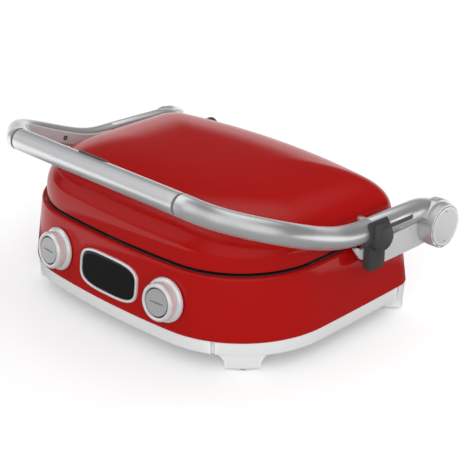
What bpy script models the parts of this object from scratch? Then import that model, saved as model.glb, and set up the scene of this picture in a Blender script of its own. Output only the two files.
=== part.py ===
# Contact grill: a red countertop cooker whose hinged lid hangs in a tube handle.
# X runs to the right seen from the front, Y to the back, Z up; lengths are in metres.
# The origin is on the table, under the middle of the whole object.
import math

import bmesh
import bpy
import numpy as np
from mathutils import Matrix, Vector

# Clearances
touch_gap = 0.0003
cut_overrun = 0.02
no_length = 0.0

# Plan of the lower body
body_half_width = 0.167
body_front_depth = 0.1235
body_rear_depth = 0.1235
front_bow = 0.016
rear_bow = 0.0205
side_bow = 0.002
front_corner = 0.097
rear_corner = 0.022
lid_rear_corner = 0.034

# Heights, from the table up
foot_pad_height = 0.0012
skirt_bottom = 0.0145
housing_bottom = 0.0275
rim_height = 0.0845
lid_gap = 0.0028
lid_rise = 0.0497

# Lower housing
wall_lean = 0.0075
wall = 0.0028
rim_round = 0.0015
lid_inset = 0.0125
rim_width = 0.004
shelf_drop = 0.010
shelf_thickness = 0.003
shelf_inset = 0.026
edge_break = 0.001

# Base skirt, its feet and the bottom cover
skirt_inset = 0.0006
skirt_lean = 0.0009
skirt_wall = 0.006
foot_depth = 0.013
front_foot_top_half = 0.0245
front_foot_bottom_half = 0.0152
rear_foot_top_half = 0.0175
rear_foot_bottom_half = 0.0100
foot_lift = 0.0015
foot_join = 0.0026
foot_step = 0.0005
notch_width = 0.0050
notch_depth = 0.0035
notch_overlap = 0.0010
pad_half = 0.009
pad_inset = 0.0065
cover_thickness = 0.0022
cover_lift = 0.0075

# Cooking plates
plate_slab = 0.0052
rib_rise = 0.0055
rib_pitch = 0.0125
rib_width = 0.0055
rib_end_inset = 0.0455
rib_half_length = body_rear_depth - rib_end_inset
rib_side_inset = 0.037
rib_field_half = body_half_width - rib_side_inset
rib_bite = 0.001
rib_margin = 0.006
plate_gap = 0.003

# Heaters and their reflector pans
heater_radius = 0.0032
heater_side_inset = 0.062
heater_half_width = body_half_width - heater_side_inset
heater_end_inset = 0.0615
heater_half_depth = body_rear_depth - heater_end_inset
heater_corner = 0.03
heater_gap_half = 0.018
pan_sheet = 0.0012
lower_pan_depth = 0.0135
lower_pan_flange = 0.0125
lower_pan_inset = 0.0275
upper_pan_depth = 0.006
upper_pan_flange = 0.019
upper_pan_inset = 0.031

# Drip tray
tray_half_depth = 0.058
tray_inner_end = 0.020
tray_height = 0.019
tray_wall = 0.0022
tray_face_wall = 0.006
tray_pull_half = 0.022
tray_pull_height = 0.006
tray_pull_depth = 0.007
runner_half = 0.003
runner_inset = 0.012

# Display
display_half_width = 0.038
display_half_height = 0.0185
display_drop = 0.0025
display_height = (housing_bottom + rim_height) / 2 - display_drop
display_power = 3.6
bezel_width = 0.0023
bezel_proud = 0.0022
glass_proud = 0.0013
glass_depth = 0.0042
bezel_lift = 0.0004
board_half_width = 0.030
board_half_height = 0.012
board_thickness = 0.0016
board_setback = 0.0039

# Knobs, their rings, switches and buttons
knob_offset = 0.072
knob_drop = 0.0015
knob_height = (housing_bottom + rim_height) / 2 - knob_drop
ring_radius = 0.0200
ring_bore = 0.0150
ring_height = 0.0046
ring_step = 0.0030
knob_radius = 0.0171
knob_foot_radius = 0.0165
knob_reach = 0.0136
knob_bevel = 0.0022
sleeve_radius = 0.0131
sleeve_bore = 0.0124
sleeve_reach = 0.0112
sleeve_floor = 0.0030
sleeve_stem = 0.0055
stem_reach = 0.0060
switch_half = 0.0085
switch_depth = 0.0075
button_reach = 0.0128
button_travel = 0.0012
button_foot = 0.0048
button_dish = 0.0004
ring_lift = 0.0007

# Handle
tube_radius = 0.010
grip_side_inset = 0.0622
grip_half = body_half_width - grip_side_inset
grip_overhang = 0.0052
grip_front = body_front_depth + grip_overhang
grip_lift = 0.0685
grip_height = rim_height + lid_gap + grip_lift
arm_gap = 0.002
arm_offset = body_half_width + arm_gap
arm_start_lift = 0.0160
arm_start_height = rim_height + lid_gap + arm_start_lift
arm_end_lift = 0.0133
arm_end_height = rim_height + lid_gap + arm_end_lift
arm_joint = 0.030
arm_start = 0.025
arm_end_inset = 0.0195
arm_end = body_rear_depth - arm_end_inset
bend_shares = ((0.310, 0.099, 0.177), (0.972, 0.302, 0.368), (1.0, 0.734, 0.870))
gasket_length = 0.0024
gasket_shrink = 0.0006
cover_flat = 0.0075
cover_sheet = 0.0015
cover_half_height = 0.0062
insert_half = 0.0178
insert_offset = 0.0083
insert_width = 0.0036
insert_height = 0.0012
insert_turn_share = 0.15

# Hinge hub
hub_inset = 0.0053
hub_back = body_rear_depth - hub_inset
hub_drop = 0.0036
hub_height = rim_height + lid_gap - hub_drop
hub_radius = 0.0205
base_hub_radius = 0.0200
plate_clearance = 0.0005
plate_inner = body_half_width + plate_clearance
side_plate_thickness = 0.003
base_hub_length = 0.0052
base_hub_reach = plate_inner + side_plate_thickness + base_hub_length
cup_length = 0.0118
cup_reach = base_hub_reach + cup_length
cup_depth = 0.0075
cup_floor = cup_reach - cup_depth
cup_wall = 0.0017
cup_bore = hub_radius - cup_wall
disc_proud = 0.0005
disc_reach = cup_reach + disc_proud
disc_thickness = 0.0048
release_travel = 0.0022
disc_stem = 0.005
pin_radius = 0.004
saddle_wall = 0.0030
saddle_outer = base_hub_radius + saddle_wall
saddle_front_angle = 150.0
saddle_rear_angle = 42.0
elbow_drop = 0.0060
elbow_run = 0.0135

# Side plate
side_plate_top_lift = 0.0043
side_plate_top = hub_height + side_plate_top_lift
side_plate_front = 0.0113
side_plate_tip_lift = 0.0072
side_plate_tip = hub_height + side_plate_tip_lift
side_plate_step = 0.0190
side_plate_nose = 0.0210
side_plate_nose_drop = 0.0057
side_plate_toe = 0.0540
side_plate_toe_drop = 0.0190
side_plate_heel = 0.1060
side_plate_heel_drop = 0.0203
side_plate_round = 0.003
boss_radius = 0.0055
boss_drop = 0.0147
boss_height = hub_height - boss_drop
front_boss = 0.045
rear_boss = 0.078

# Height lever and its slot
slot_width = 0.0042
slot_lift = 0.0010
slot_depth = 0.0035
slot_end = 0.0810
lever_front = 0.0205
lever_length = 0.0255
lever_wall = 0.0028
lever_top_gap = 0.0073
lever_radius = tube_radius + lever_wall
lever_clearance = 0.0008
lever_inner = plate_inner + side_plate_thickness + lever_clearance
lever_thickness = 0.0155
lever_outer = lever_inner + lever_thickness
lever_foot_drop = 0.0162
lever_foot = hub_height - lever_foot_drop
lever_foot_half = 0.0102
lever_foot_depth = 0.0072
lever_foot_round = 0.0040
lever_lobe_radius = 0.0123
lever_lobe_drop = 0.0040
lever_lobe_depth = 0.0080
lever_key_length = 0.006
lever_mouth = 0.0068
lever_travel = 0.033

# Lid
lid_wall = 0.003
lid_power = 3.0
lid_pole_share = 0.12
liner_inset = 0.0160
liner_lean = 0.0020
liner_inner = 0.0240
liner_lip = 0.0300
liner_drop = 0.0006
liner_sheet = 0.002
pivot_back = 0.040
pivot_radius = 0.005
pivot_root = 0.017
pivot_inner = body_half_width - pivot_root
pivot_length = 0.014
pivot_outer = pivot_inner + pivot_length
pivot_end_gap = 0.0005
pivot_hole_end = pivot_outer + pivot_end_gap

# Rear: lead gland on the base and heater-lead boot on the lid
gland_side_inset = 0.062
gland_offset = body_half_width - gland_side_inset
gland_drop = 0.004
gland_height = (housing_bottom + rim_height) / 2 - gland_drop
gland_radius = 0.009
gland_bore = 0.004
gland_reach = 0.010
gland_collar = 0.012
boot_side_inset = 0.062
boot_offset = body_half_width - boot_side_inset
boot_half_width = 0.014
boot_height = 0.024
boot_reach = 0.012
boot_lift = 0.0032
boot_bottom = rim_height + lid_gap + boot_lift
boot_root = 0.013

# Power board
control_half_width = 0.040
control_half_depth = 0.030
control_inner_gap = 0.025
control_offset = tray_inner_end + control_inner_gap + control_half_width
control_back = 0.010
control_thickness = 0.0016
control_post = 0.0035
control_post_radius = 0.003

round_steps = 24
small_steps = 16
tube_steps = 16
sharp_angle = math.radians(35)


def clear_scene():
    for old in list(bpy.data.objects):
        bpy.data.objects.remove(old, do_unlink=True)


def finish(name, colour, roughness, metallic=0.0, coat=0.0):
    made = bpy.data.materials.new(name)
    made.use_nodes = True
    shader = made.node_tree.nodes["Principled BSDF"]
    shader.inputs["Base Color"].default_value = (*colour, 1.0)
    shader.inputs["Roughness"].default_value = roughness
    shader.inputs["Metallic"].default_value = metallic
    shader.inputs["Coat Weight"].default_value = coat
    made.diffuse_color = (*colour, 1.0)
    return made


def make_object(name, points, faces, material):
    """A mesh object from points and faces, with its normals outwards and its round sides smooth."""
    mesh = bpy.data.meshes.new(name)
    mesh.from_pydata([tuple(point) for point in points], [], faces)
    work = bmesh.new()
    work.from_mesh(mesh)
    bmesh.ops.recalc_face_normals(work, faces=work.faces)
    work.to_mesh(mesh)
    work.free()
    made = bpy.data.objects.new(name, mesh)
    bpy.context.scene.collection.objects.link(made)
    if material:
        mesh.materials.append(material)
    mesh.shade_smooth()
    mesh.set_sharp_from_angle(angle=sharp_angle)
    return made


def loft_shape(rings, closed=False):
    """Points and faces of a skin over rings of equal count; closed joins the last ring to the first."""
    rings = [np.asarray(ring, float) for ring in rings]
    count = len(rings[0])
    points = np.vstack(rings)
    faces = []
    pairs = list(zip(range(len(rings) - 1), range(1, len(rings))))
    if closed:
        pairs.append((len(rings) - 1, 0))
    for low, high in pairs:
        for step in range(count):
            after = (step + 1) % count
            faces.append((low * count + step, low * count + after, high * count + after, high * count + step))
    if not closed:
        faces.append(tuple(range(count))[::-1])
        faces.append(tuple((len(rings) - 1) * count + step for step in range(count)))
    return points, faces


def loft(name, rings, material, closed=False):
    points, faces = loft_shape(rings, closed)
    return make_object(name, points, faces, material)


def box(name, low, high, material=None):
    (x0, y0, z0), (x1, y1, z1) = low, high
    lower = [(x0, y0, z0), (x1, y0, z0), (x1, y1, z0), (x0, y1, z0)]
    upper = [(x0, y0, z1), (x1, y0, z1), (x1, y1, z1), (x0, y1, z1)]
    return loft(name, [lower, upper], material)


def turned(name, profile, material, place=None, steps=round_steps, closed=False):
    """A profile of (radius, height) turned round local Z, then placed by a matrix."""
    angles = np.arange(steps) * math.tau / steps
    rings = []
    for radius, height in profile:
        rings.append(np.column_stack([radius * np.cos(angles), radius * np.sin(angles), np.full(steps, height)]))
    made = loft(name, rings, material, closed)
    if place is not None:
        made.matrix_world = place
    return made


def as_cutter(item):
    item.hide_render = True
    item.display_type = "WIRE"
    return item


def combine(item, other, operation):
    step = item.modifiers.new(operation.lower(), "BOOLEAN")
    step.operation = operation
    step.object = as_cutter(other)
    step.solver = "EXACT"
    return item


def cut(item, *others):
    for other in others:
        combine(item, other, "DIFFERENCE")
    return item


def join(item, *others):
    for other in others:
        combine(item, other, "UNION")
    return item


def arc(centre, radius, start, end, count):
    angles = np.linspace(start, end, count)
    return np.column_stack([centre[0] + radius * np.cos(angles), centre[1] + radius * np.sin(angles)])


def rounded(corners, radius):
    """Each corner becomes a short curve between the points one radius away from it on its two sides."""
    corners = np.asarray(corners, float)
    points = []
    for before, corner, after in zip(np.roll(corners, 1, axis=0), corners, np.roll(corners, -1, axis=0)):
        start = corner + (before - corner) * radius / np.linalg.norm(before - corner)
        end = corner + (after - corner) * radius / np.linalg.norm(after - corner)
        for share in np.linspace(0, 1, 4):
            points.append((1 - share) ** 2 * start + 2 * share * (1 - share) * corner + share**2 * end)
    return points


def corner_centre(depth, bow, corner):
    """Centres of the bowed face, the bowed side and the corner's arc that touches both."""
    front_radius = (body_half_width**2 + bow**2) / (2 * bow)
    side_radius = (depth**2 + side_bow**2) / (2 * side_bow)
    front_centre = np.array([0, front_radius - depth])
    side_centre = np.array([body_half_width - side_radius, 0])
    front_reach = front_radius - corner
    side_reach = side_radius - corner
    between = side_centre - front_centre
    span = np.hypot(*between)
    along = between / span
    across = np.array([-along[1], along[0]])
    run = (front_reach**2 - side_reach**2 + span**2) / (2 * span)
    rise = math.sqrt(front_reach**2 - run**2)
    spots = [front_centre + along * run + across * rise, front_centre + along * run - across * rise]
    centre = max(spots, key=lambda spot: spot[0] - spot[1])
    return front_centre, side_centre, centre


def quadrant(depth, bow, corner, inset):
    """Quarter outline from the middle of the front to the middle of the side: three tangent arcs."""
    front_radius = (body_half_width**2 + bow**2) / (2 * bow)
    side_radius = (depth**2 + side_bow**2) / (2 * side_bow)
    front_centre, side_centre, centre = corner_centre(depth, bow, corner)
    front_turn = math.atan2(*(centre - front_centre)[::-1])
    side_turn = math.atan2(*(centre - side_centre)[::-1])
    front = arc(front_centre, front_radius - inset, -math.pi / 2, front_turn, 5)
    bend = arc(centre, corner - inset, front_turn, side_turn, 8 if corner == front_corner else 6)
    side = arc(side_centre, side_radius - inset, side_turn, 0, 3)
    return np.vstack([front, bend[1:], side[1:]])


def rear_corner_at(inset):
    """The red wall has its own rear corner; from the ledge inwards the plan has the lid's rounder one."""
    return rear_corner if inset <= wall_lean + rim_round + touch_gap else lid_rear_corner


def outline(inset):
    """The body's plan, drawn in by inset, as points going round from the middle of the front."""
    front = quadrant(body_front_depth, front_bow, front_corner, inset)
    rear = quadrant(body_rear_depth, rear_bow, rear_corner_at(inset), inset)[::-1] * [1, -1]
    right = np.vstack([front, rear[1:]])
    left = right[1:-1][::-1] * [-1, 1]
    return np.vstack([right, left])


def level(inset, height):
    plan = outline(inset)
    return np.column_stack([plan, np.full(len(plan), height)])


def wall_inset(height):
    """How far the red wall has leaned in at this height."""
    lean_top = rim_height - rim_round
    return wall_lean * (height - housing_bottom) / (lean_top - housing_bottom)


def swept_ring(name, profile, material):
    """A closed profile of (inset, height) carried round the body's plan."""
    return loft(name, [level(inset, height) for inset, height in profile], material, closed=True)


def wall_place(end, offset, height):
    """A frame on the front or rear wall: local Z points out of the wall, local Y up it."""
    sign = ends[end]
    depth, bow = {"front": (body_front_depth, front_bow), "rear": (body_rear_depth, rear_bow)}[end]
    radius = (body_half_width**2 + bow**2) / (2 * bow)
    turn = math.asin(offset / radius)
    reach = radius - wall_inset(height)
    spot = Vector((reach * math.sin(turn), sign * (depth - radius + reach * math.cos(turn)), height))
    lean = math.atan2(wall_lean, rim_height - rim_round - housing_bottom)
    outward = Vector((math.sin(turn) * math.cos(lean), sign * math.cos(turn) * math.cos(lean), math.sin(lean)))
    across = Vector((-sign * math.cos(turn), math.sin(turn), 0))
    upward = outward.cross(across)
    place = Matrix.Identity(4)
    for row in range(3):
        place[row][0] = across[row]
        place[row][1] = upward[row]
        place[row][2] = outward[row]
        place[row][3] = spot[row]
    return place


def side_place(side, back, height, start):
    """A frame on the X axis direction: local Z points away from the body's middle."""
    place = Matrix.Translation((side * start, back, height))
    return place @ Matrix.Rotation(side * math.pi / 2, 4, "Y")


def smooth_curve(knots, start_direction, count):
    """Natural cubic spline through the knots, leaving the first one along start_direction."""
    knots = np.asarray(knots, float)
    times = np.concatenate([[0], np.cumsum(np.sqrt(np.linalg.norm(np.diff(knots, axis=0), axis=1)))])
    steps = np.diff(times)
    size = len(knots)
    rows = np.zeros((size, size))
    right = np.zeros((size, 3))
    first_slope = np.asarray(start_direction, float) * steps[0]
    rows[0, 0], rows[0, 1] = 2 * steps[0], steps[0]
    right[0] = 6 * ((knots[1] - knots[0]) / steps[0] - first_slope)
    rows[-1, -1] = 1
    for row in range(1, size - 1):
        rows[row, row - 1 : row + 2] = steps[row - 1], 2 * (steps[row - 1] + steps[row]), steps[row]
        right[row] = 6 * ((knots[row + 1] - knots[row]) / steps[row] - (knots[row] - knots[row - 1]) / steps[row - 1])
    bends = np.linalg.solve(rows, right)
    curve = []
    for time in np.linspace(0, times[-1], count):
        span = min(np.searchsorted(times, time, side="right") - 1, size - 2)
        before, after = times[span + 1] - time, time - times[span]
        step = steps[span]
        point = (bends[span] * before**3 + bends[span + 1] * after**3) / (6 * step)
        point = point + (knots[span] / step - bends[span] * step / 6) * before
        point = point + (knots[span + 1] / step - bends[span + 1] * step / 6) * after
        curve.append(point)
    return np.array(curve)


def sweep(name, path, section, material, side=1, lead=None, trim=0):
    """A section of (inward, upward) points carried along a path; side -1 mirrors it to the left."""
    path = np.asarray(path, float)
    tangents = np.gradient(path, axis=0)
    if lead is not None:
        tangents[0] = lead
    path = path[trim : len(path) - min(trim, 1)]
    tangents = tangents[trim:]
    rings = []
    for point, tangent in zip(path, tangents):
        tangent = tangent / np.linalg.norm(tangent)
        inward = np.cross((0, 0, 1), tangent)
        inward = inward / np.linalg.norm(inward)
        upward = np.cross(tangent, inward)
        rings.append([point + inward * first + upward * second for first, second in section])
    rings = [np.array(ring) * [side, 1, 1] for ring in rings]
    return loft(name, rings, material)


def tube_section(radius, flat=None, steps=tube_steps):
    """A round section whose inner side is cut flat at the given distance."""
    angles = (np.arange(steps) + 0.5) * math.tau / steps
    flat = radius if flat is None else flat
    return [(min(radius * math.cos(angle), flat), radius * math.sin(angle)) for angle in angles]


def strip_section():
    """The thin inner cover's section, just inside the tube's flat side."""
    near = cover_flat + touch_gap
    far = near + cover_sheet
    edge = cover_half_height - cover_sheet / 2
    return [(near, -cover_half_height), (far, -edge), (far, edge), (near, cover_half_height)]


def barrel(half_width, half_height, count=40):
    """The display's outline, a rounded rectangle with bulging sides."""
    angles = np.arange(count) * math.tau / count
    across = half_width * np.sign(np.cos(angles)) * np.abs(np.cos(angles)) ** (2 / display_power)
    upward = half_height * np.sign(np.sin(angles)) * np.abs(np.sin(angles)) ** (2 / display_power)
    return np.column_stack([across, upward])


def bowed_level(plan, height):
    """A display outline at a height above the wall, bent with the wall's bow."""
    radius = (body_half_width**2 + front_bow**2) / (2 * front_bow)
    return np.column_stack([plan, height - plan[:, 0] ** 2 / (2 * radius)])


clear_scene()

red = finish("red_paint", (0.56, 0.012, 0.010), 0.12, 0.0, 1.0)
pale = finish("pale_grey_plastic", (0.72, 0.73, 0.74), 0.35)
black = finish("black_plastic", (0.03, 0.03, 0.03), 0.5)
rubber = finish("black_rubber", (0.02, 0.02, 0.02), 0.8)
cast = finish("coated_cast_aluminium", (0.05, 0.05, 0.052), 0.45, 0.3)
steel = finish("bright_sheet", (0.62, 0.62, 0.63), 0.35, 1.0)
satin = finish("satin_metal", (0.66, 0.67, 0.68), 0.30, 1.0)
chrome = finish("bright_chrome", (0.85, 0.86, 0.87), 0.08, 1.0)
brushed = finish("brushed_metal", (0.60, 0.61, 0.62), 0.32, 1.0)
glass = finish("black_glass", (0.006, 0.006, 0.007), 0.05, 0.0, 1.0)
board = finish("circuit_board", (0.02, 0.12, 0.05), 0.6)
grey = finish("dark_grey_plastic", (0.115, 0.115, 0.12), 0.55)
soft_grey = finish("grey_gasket", (0.22, 0.22, 0.22), 0.6)

sides = {"left": -1, "right": 1}
ends = {"front": -1, "rear": 1}
shelf_top = rim_height - shelf_drop
plate_bottom = shelf_top + touch_gap
plate_top = plate_bottom + plate_slab
rib_top = plate_top + rib_rise
inner_rim = lid_inset + rim_width
lid_bottom = rim_height + lid_gap
upper_rib = rib_top + plate_gap
upper_face = upper_rib + rib_rise
upper_back = upper_face + plate_slab


# Lower housing
def make_lower_housing():
    lean_top = rim_height - rim_round
    shelf_bottom = shelf_top - shelf_thickness
    profile = [
        (edge_break, housing_bottom),
        (no_length, housing_bottom + edge_break),
        (wall_lean, lean_top),
        (wall_lean + rim_round / 2, rim_height - rim_round / 3),
        (wall_lean + rim_round, rim_height),
        (inner_rim, rim_height),
        (inner_rim, shelf_top),
        (shelf_inset, shelf_top),
        (shelf_inset, shelf_bottom),
        (wall_inset(shelf_bottom) + wall, shelf_bottom),
        (wall, housing_bottom),
    ]
    made = swept_ring("lower_housing", profile, red)
    hole = barrel(display_half_width - bezel_width, display_half_height - bezel_width)
    cutter = loft("display_hole", [bowed_level(hole, -cut_overrun), bowed_level(hole, cut_overrun)], None)
    cutter.matrix_world = wall_place("front", no_length, display_height)
    cut(made, cutter)
    for side, sign in sides.items():
        place = wall_place("front", sign * knob_offset, knob_height)
        radius = sleeve_stem + touch_gap
        profile = [(radius, -cut_overrun), (radius, cut_overrun)]
        cut(made, turned(f"stem_hole_{side}", profile, None, place, small_steps))
    half = tray_half_depth + 2 * touch_gap
    low = tray_bottom() - touch_gap
    high = tray_bottom() + tray_height + 2 * touch_gap
    reach = body_half_width + cut_overrun
    cut(made, box("tray_hole", (-reach, -half, low), (cut_overrun - body_half_width, half, high)))
    place = wall_place("rear", gland_offset, gland_height)
    radius = gland_radius + touch_gap
    profile = [(radius, -cut_overrun), (radius, cut_overrun)]
    cut(made, turned("gland_hole", profile, None, place, small_steps))
    return made


def tray_bottom():
    return housing_bottom + edge_break + 2 * touch_gap


# Base skirt with four feet
def along_outline(plan, start, distance):
    """The point at a distance along a closed plan, counted from the plan's point nearest start."""
    edges = np.roll(plan, -1, axis=0) - plan
    lengths = np.hypot(*edges.T)
    places = np.concatenate([[0], np.cumsum(lengths)])
    shares = np.clip(((start - plan) * edges).sum(axis=1) / lengths**2, 0, 1)
    nearest = np.argmin(np.hypot(*(plan + edges * shares[:, None] - start).T))
    target = (places[nearest] + shares[nearest] * lengths[nearest] + distance) % places[-1]
    step = min(np.searchsorted(places, target, side="right") - 1, len(plan) - 1)
    return plan[step] + edges[step] * (target - places[step]) / lengths[step]


def corner_spot(sign_x, sign_y, inset):
    """The middle of the skirt's corner, on its diagonal."""
    depth, bow, corner = (body_front_depth, front_bow, front_corner)
    if sign_y > 0:
        depth, bow, corner = (body_rear_depth, rear_bow, rear_corner)
    centre = corner_centre(depth, bow, corner)[2]
    reach = (corner - inset) * math.sqrt(0.5)
    return np.array([sign_x * (centre[0] + reach), sign_y * (reach - centre[1])])


def foot_halves(sign_y):
    """Half the foot's length along the plan, at its top and at its bottom."""
    if sign_y < 0:
        return front_foot_top_half, front_foot_bottom_half
    return rear_foot_top_half, rear_foot_bottom_half


def foot_rings(sign_x, sign_y):
    rings = []
    heights = np.linspace(foot_lift, skirt_bottom + foot_join, 7)
    top_half, bottom_half = foot_halves(sign_y)
    for height in heights:
        rise = (height - foot_lift) / (heights[-1] - foot_lift)
        half = bottom_half + (top_half - bottom_half) * rise**3
        ring = []
        for inset, order in ((skirt_inset + skirt_lean + foot_step, 1), (skirt_inset + foot_depth, -1)):
            plan = outline(inset)
            spot = corner_spot(sign_x, sign_y, inset)
            places = np.linspace(-half, half, 9)[::order]
            ring += [(*along_outline(plan, spot, place), height) for place in places]
        rings.append(ring)
    return rings


def notch_rings(sign_x, sign_y):
    """A slot through the skirt's face beside the foot, square to the plan."""
    middle = -sign_x * (foot_halves(sign_y)[0] + notch_width / 2 - notch_overlap)
    spot = corner_spot(sign_x, sign_y, skirt_inset)
    ends_along = (middle - notch_width / 2, middle + notch_width / 2)
    plan = outline(skirt_inset)
    first, last = (along_outline(plan, spot, place) for place in ends_along)
    along = (last - first) / np.hypot(*(last - first))
    inward = np.array([-along[1], along[0]])
    corners = [first - inward * notch_depth, last - inward * notch_depth]
    corners += [last + inward * notch_depth, first + inward * notch_depth]
    low, high = skirt_bottom - notch_depth, housing_bottom + notch_depth
    return [[(*corner, height) for corner in corners] for height in (low, high)]


def make_base_skirt():
    profile = [
        (skirt_inset + skirt_lean, skirt_bottom),
        (skirt_inset, housing_bottom - touch_gap - edge_break),
        (skirt_inset + edge_break, housing_bottom - touch_gap),
        (skirt_inset + skirt_wall, housing_bottom - touch_gap),
        (skirt_inset + skirt_wall, skirt_bottom),
    ]
    made = swept_ring("base_skirt", profile, pale)
    for end, sign_y in ends.items():
        for side, sign_x in sides.items():
            join(made, loft(f"foot_{end}_{side}", foot_rings(sign_x, sign_y), None))
    for end, sign_y in ends.items():
        for side, sign_x in sides.items():
            cut(made, loft(f"notch_{end}_{side}", notch_rings(sign_x, sign_y), None))
    return made


def make_foot_pad(end, side):
    sign_x, sign_y = sides[side], ends[end]
    spot = corner_spot(sign_x, sign_y, skirt_inset + pad_inset)
    profile = [(pad_half / 2 - edge_break, no_length), (pad_half / 2, edge_break), (pad_half / 2, foot_pad_height)]
    return turned(f"foot_pad_{end}_{side}", profile, rubber, Matrix.Translation((*spot, 0)), small_steps)


def make_bottom_cover():
    inset = skirt_inset + skirt_wall + touch_gap
    floor = skirt_bottom + cover_lift
    made = loft("bottom_cover", [level(inset, floor), level(inset, floor + cover_thickness)], black)
    for end, sign in ends.items():
        middle = sign * (tray_half_depth - runner_inset)
        low = (runner_inset - body_half_width, middle - runner_half, floor + cover_thickness / 2)
        high = (tray_inner_end, middle + runner_half, tray_bottom() - touch_gap)
        join(made, box(f"runner_{end}", low, high))
    for number in range(4):
        x = control_offset + (-1, 1, 1, -1)[number] * (control_half_width - control_post_radius * 2)
        y = control_back + (-1, -1, 1, 1)[number] * (control_half_depth - control_post_radius * 2)
        top = floor + cover_thickness + control_post
        profile = [(control_post_radius, floor + cover_thickness / 2), (control_post_radius, top)]
        join(made, turned(f"board_post_{number}", profile, None, Matrix.Translation((x, y, 0)), small_steps))
    return made


def make_control_board():
    low_z = skirt_bottom + cover_lift + cover_thickness + control_post + touch_gap
    low = (control_offset - control_half_width, control_back - control_half_depth, low_z)
    high = (control_offset + control_half_width, control_back + control_half_depth, low_z + control_thickness)
    return box("control_board", low, high, board)


# Drip tray
def make_drip_tray():
    """A tray that slides out to the left; its outer face follows the wall's lean."""
    low_z = tray_bottom()
    low = (-body_half_width - cut_overrun, -tray_half_depth, low_z)
    high = (tray_inner_end, tray_half_depth, low_z + tray_height)
    made = box("drip_tray", low, high, black)
    outer = [level(no_length, housing_bottom), level(wall_inset(rim_height), rim_height)]
    combine(made, loft("tray_face_limit", outer, None), "INTERSECT")
    inner = tray_half_depth - tray_wall
    hollow_low = (tray_face_wall - body_half_width, -inner, low_z + tray_wall)
    hollow_high = (tray_inner_end - tray_wall, inner, low_z + tray_height + cut_overrun)
    cut(made, box("tray_hollow", hollow_low, hollow_high))
    pull_low = (-body_half_width - cut_overrun, -tray_pull_half, low_z - cut_overrun)
    pull_high = (tray_pull_depth / 2 - body_half_width, tray_pull_half, low_z + tray_pull_height)
    return cut(made, box("tray_pull", pull_low, pull_high))


# Cooking plates
def comb(name, base, tip, inset):
    """Straight bars from front to back, standing on the plate's face and kept inside its edge."""
    count = int(rib_field_half / rib_pitch)
    low, high = min(base, tip), max(base, tip)
    front = quadrant(body_front_depth, front_bow, front_corner, inset + rib_margin)
    rear = quadrant(body_rear_depth, rear_bow, lid_rear_corner, inset + rib_margin)
    bars = []
    for number in range(-count, count + 1):
        x = number * rib_pitch
        reach = abs(x) + rib_width / 2
        start = max(-rib_half_length, np.interp(reach, *front.T))
        end = min(rib_half_length, -np.interp(reach, *rear.T))
        bar = box(f"{name}_{number + count}", (x - rib_width / 2, start, low), (x + rib_width / 2, end, high))
        bars.append(bar)
    return bars


def make_plate(name, inset, face, back, tip):
    low, high = min(face, back), max(face, back)
    made = loft(name, [level(inset, low), level(inset, high)], cast)
    bite = rib_bite if face > back else -rib_bite
    bars = comb(f"{name}_bar", face - bite, tip, inset)
    group = bpy.data.collections.new(f"{name}_bars")
    bpy.context.scene.collection.children.link(group)
    for bar in bars:
        bpy.context.scene.collection.objects.unlink(bar)
        group.objects.link(as_cutter(bar))
    step = made.modifiers.new("ribs", "BOOLEAN")
    step.operation = "UNION"
    step.operand_type = "COLLECTION"
    step.collection = group
    step.solver = "EXACT"
    return made


def heater_path(height):
    """A rounded loop, open at the back, whose two ends turn away from the plate."""
    half_x, half_y, turn = heater_half_width, heater_half_depth, heater_corner
    quarter = math.pi / 2
    right = [(heater_gap_half, half_y)]
    right += list(arc((half_x - turn, half_y - turn), turn, quarter, 0, 6))
    right += list(arc((half_x - turn, turn - half_y), turn, 0, -quarter, 6))
    right += [(0, -half_y)]
    plan = right + [(-x, y) for x, y in right[:-1][::-1]]
    return [(x, y, height) for x, y in plan]


def make_heater(name, height):
    return sweep(name, heater_path(height), tube_section(heater_radius, steps=8), steel)


def make_pan(name, flange, direction, flange_inset, wall_inset, depth):
    """A sheet pan whose flange lies at a height; direction is -1 when it hangs below it."""
    floor = flange + direction * depth
    sheet = direction * pan_sheet
    lower = wall_inset + edge_break
    rings = [
        level(lower - pan_sheet, floor + sheet),
        level(wall_inset - pan_sheet, flange + sheet),
        level(flange_inset, flange + sheet),
        level(flange_inset, flange),
        level(wall_inset, flange),
        level(lower, floor),
    ]
    return loft(name, rings, steel)


# Display
def make_display():
    place = wall_place("front", no_length, display_height)
    outer = barrel(display_half_width, display_half_height)
    step = barrel(display_half_width - edge_break / 2, display_half_height - edge_break / 2)
    inner = barrel(display_half_width - bezel_width, display_half_height - bezel_width)
    rings = [
        bowed_level(outer, bezel_lift),
        bowed_level(outer, bezel_proud - edge_break / 2),
        bowed_level(step, bezel_proud),
        bowed_level(inner, bezel_proud),
        bowed_level(inner, bezel_lift),
    ]
    bezel = loft("display_bezel", rings, chrome, closed=True)
    bezel.matrix_world = place
    pane = barrel(display_half_width - bezel_width - touch_gap, display_half_height - bezel_width - touch_gap)
    rings = [bowed_level(pane, glass_proud - glass_depth), bowed_level(pane, glass_proud)]
    front = loft("display_glass", rings, glass)
    front.matrix_world = place
    low = (-board_half_width, -board_half_height, -board_setback - board_thickness)
    high = (board_half_width, board_half_height, -board_setback)
    back = box("display_board", low, high, board)
    back.matrix_world = place
    return bezel, front, back


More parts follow.
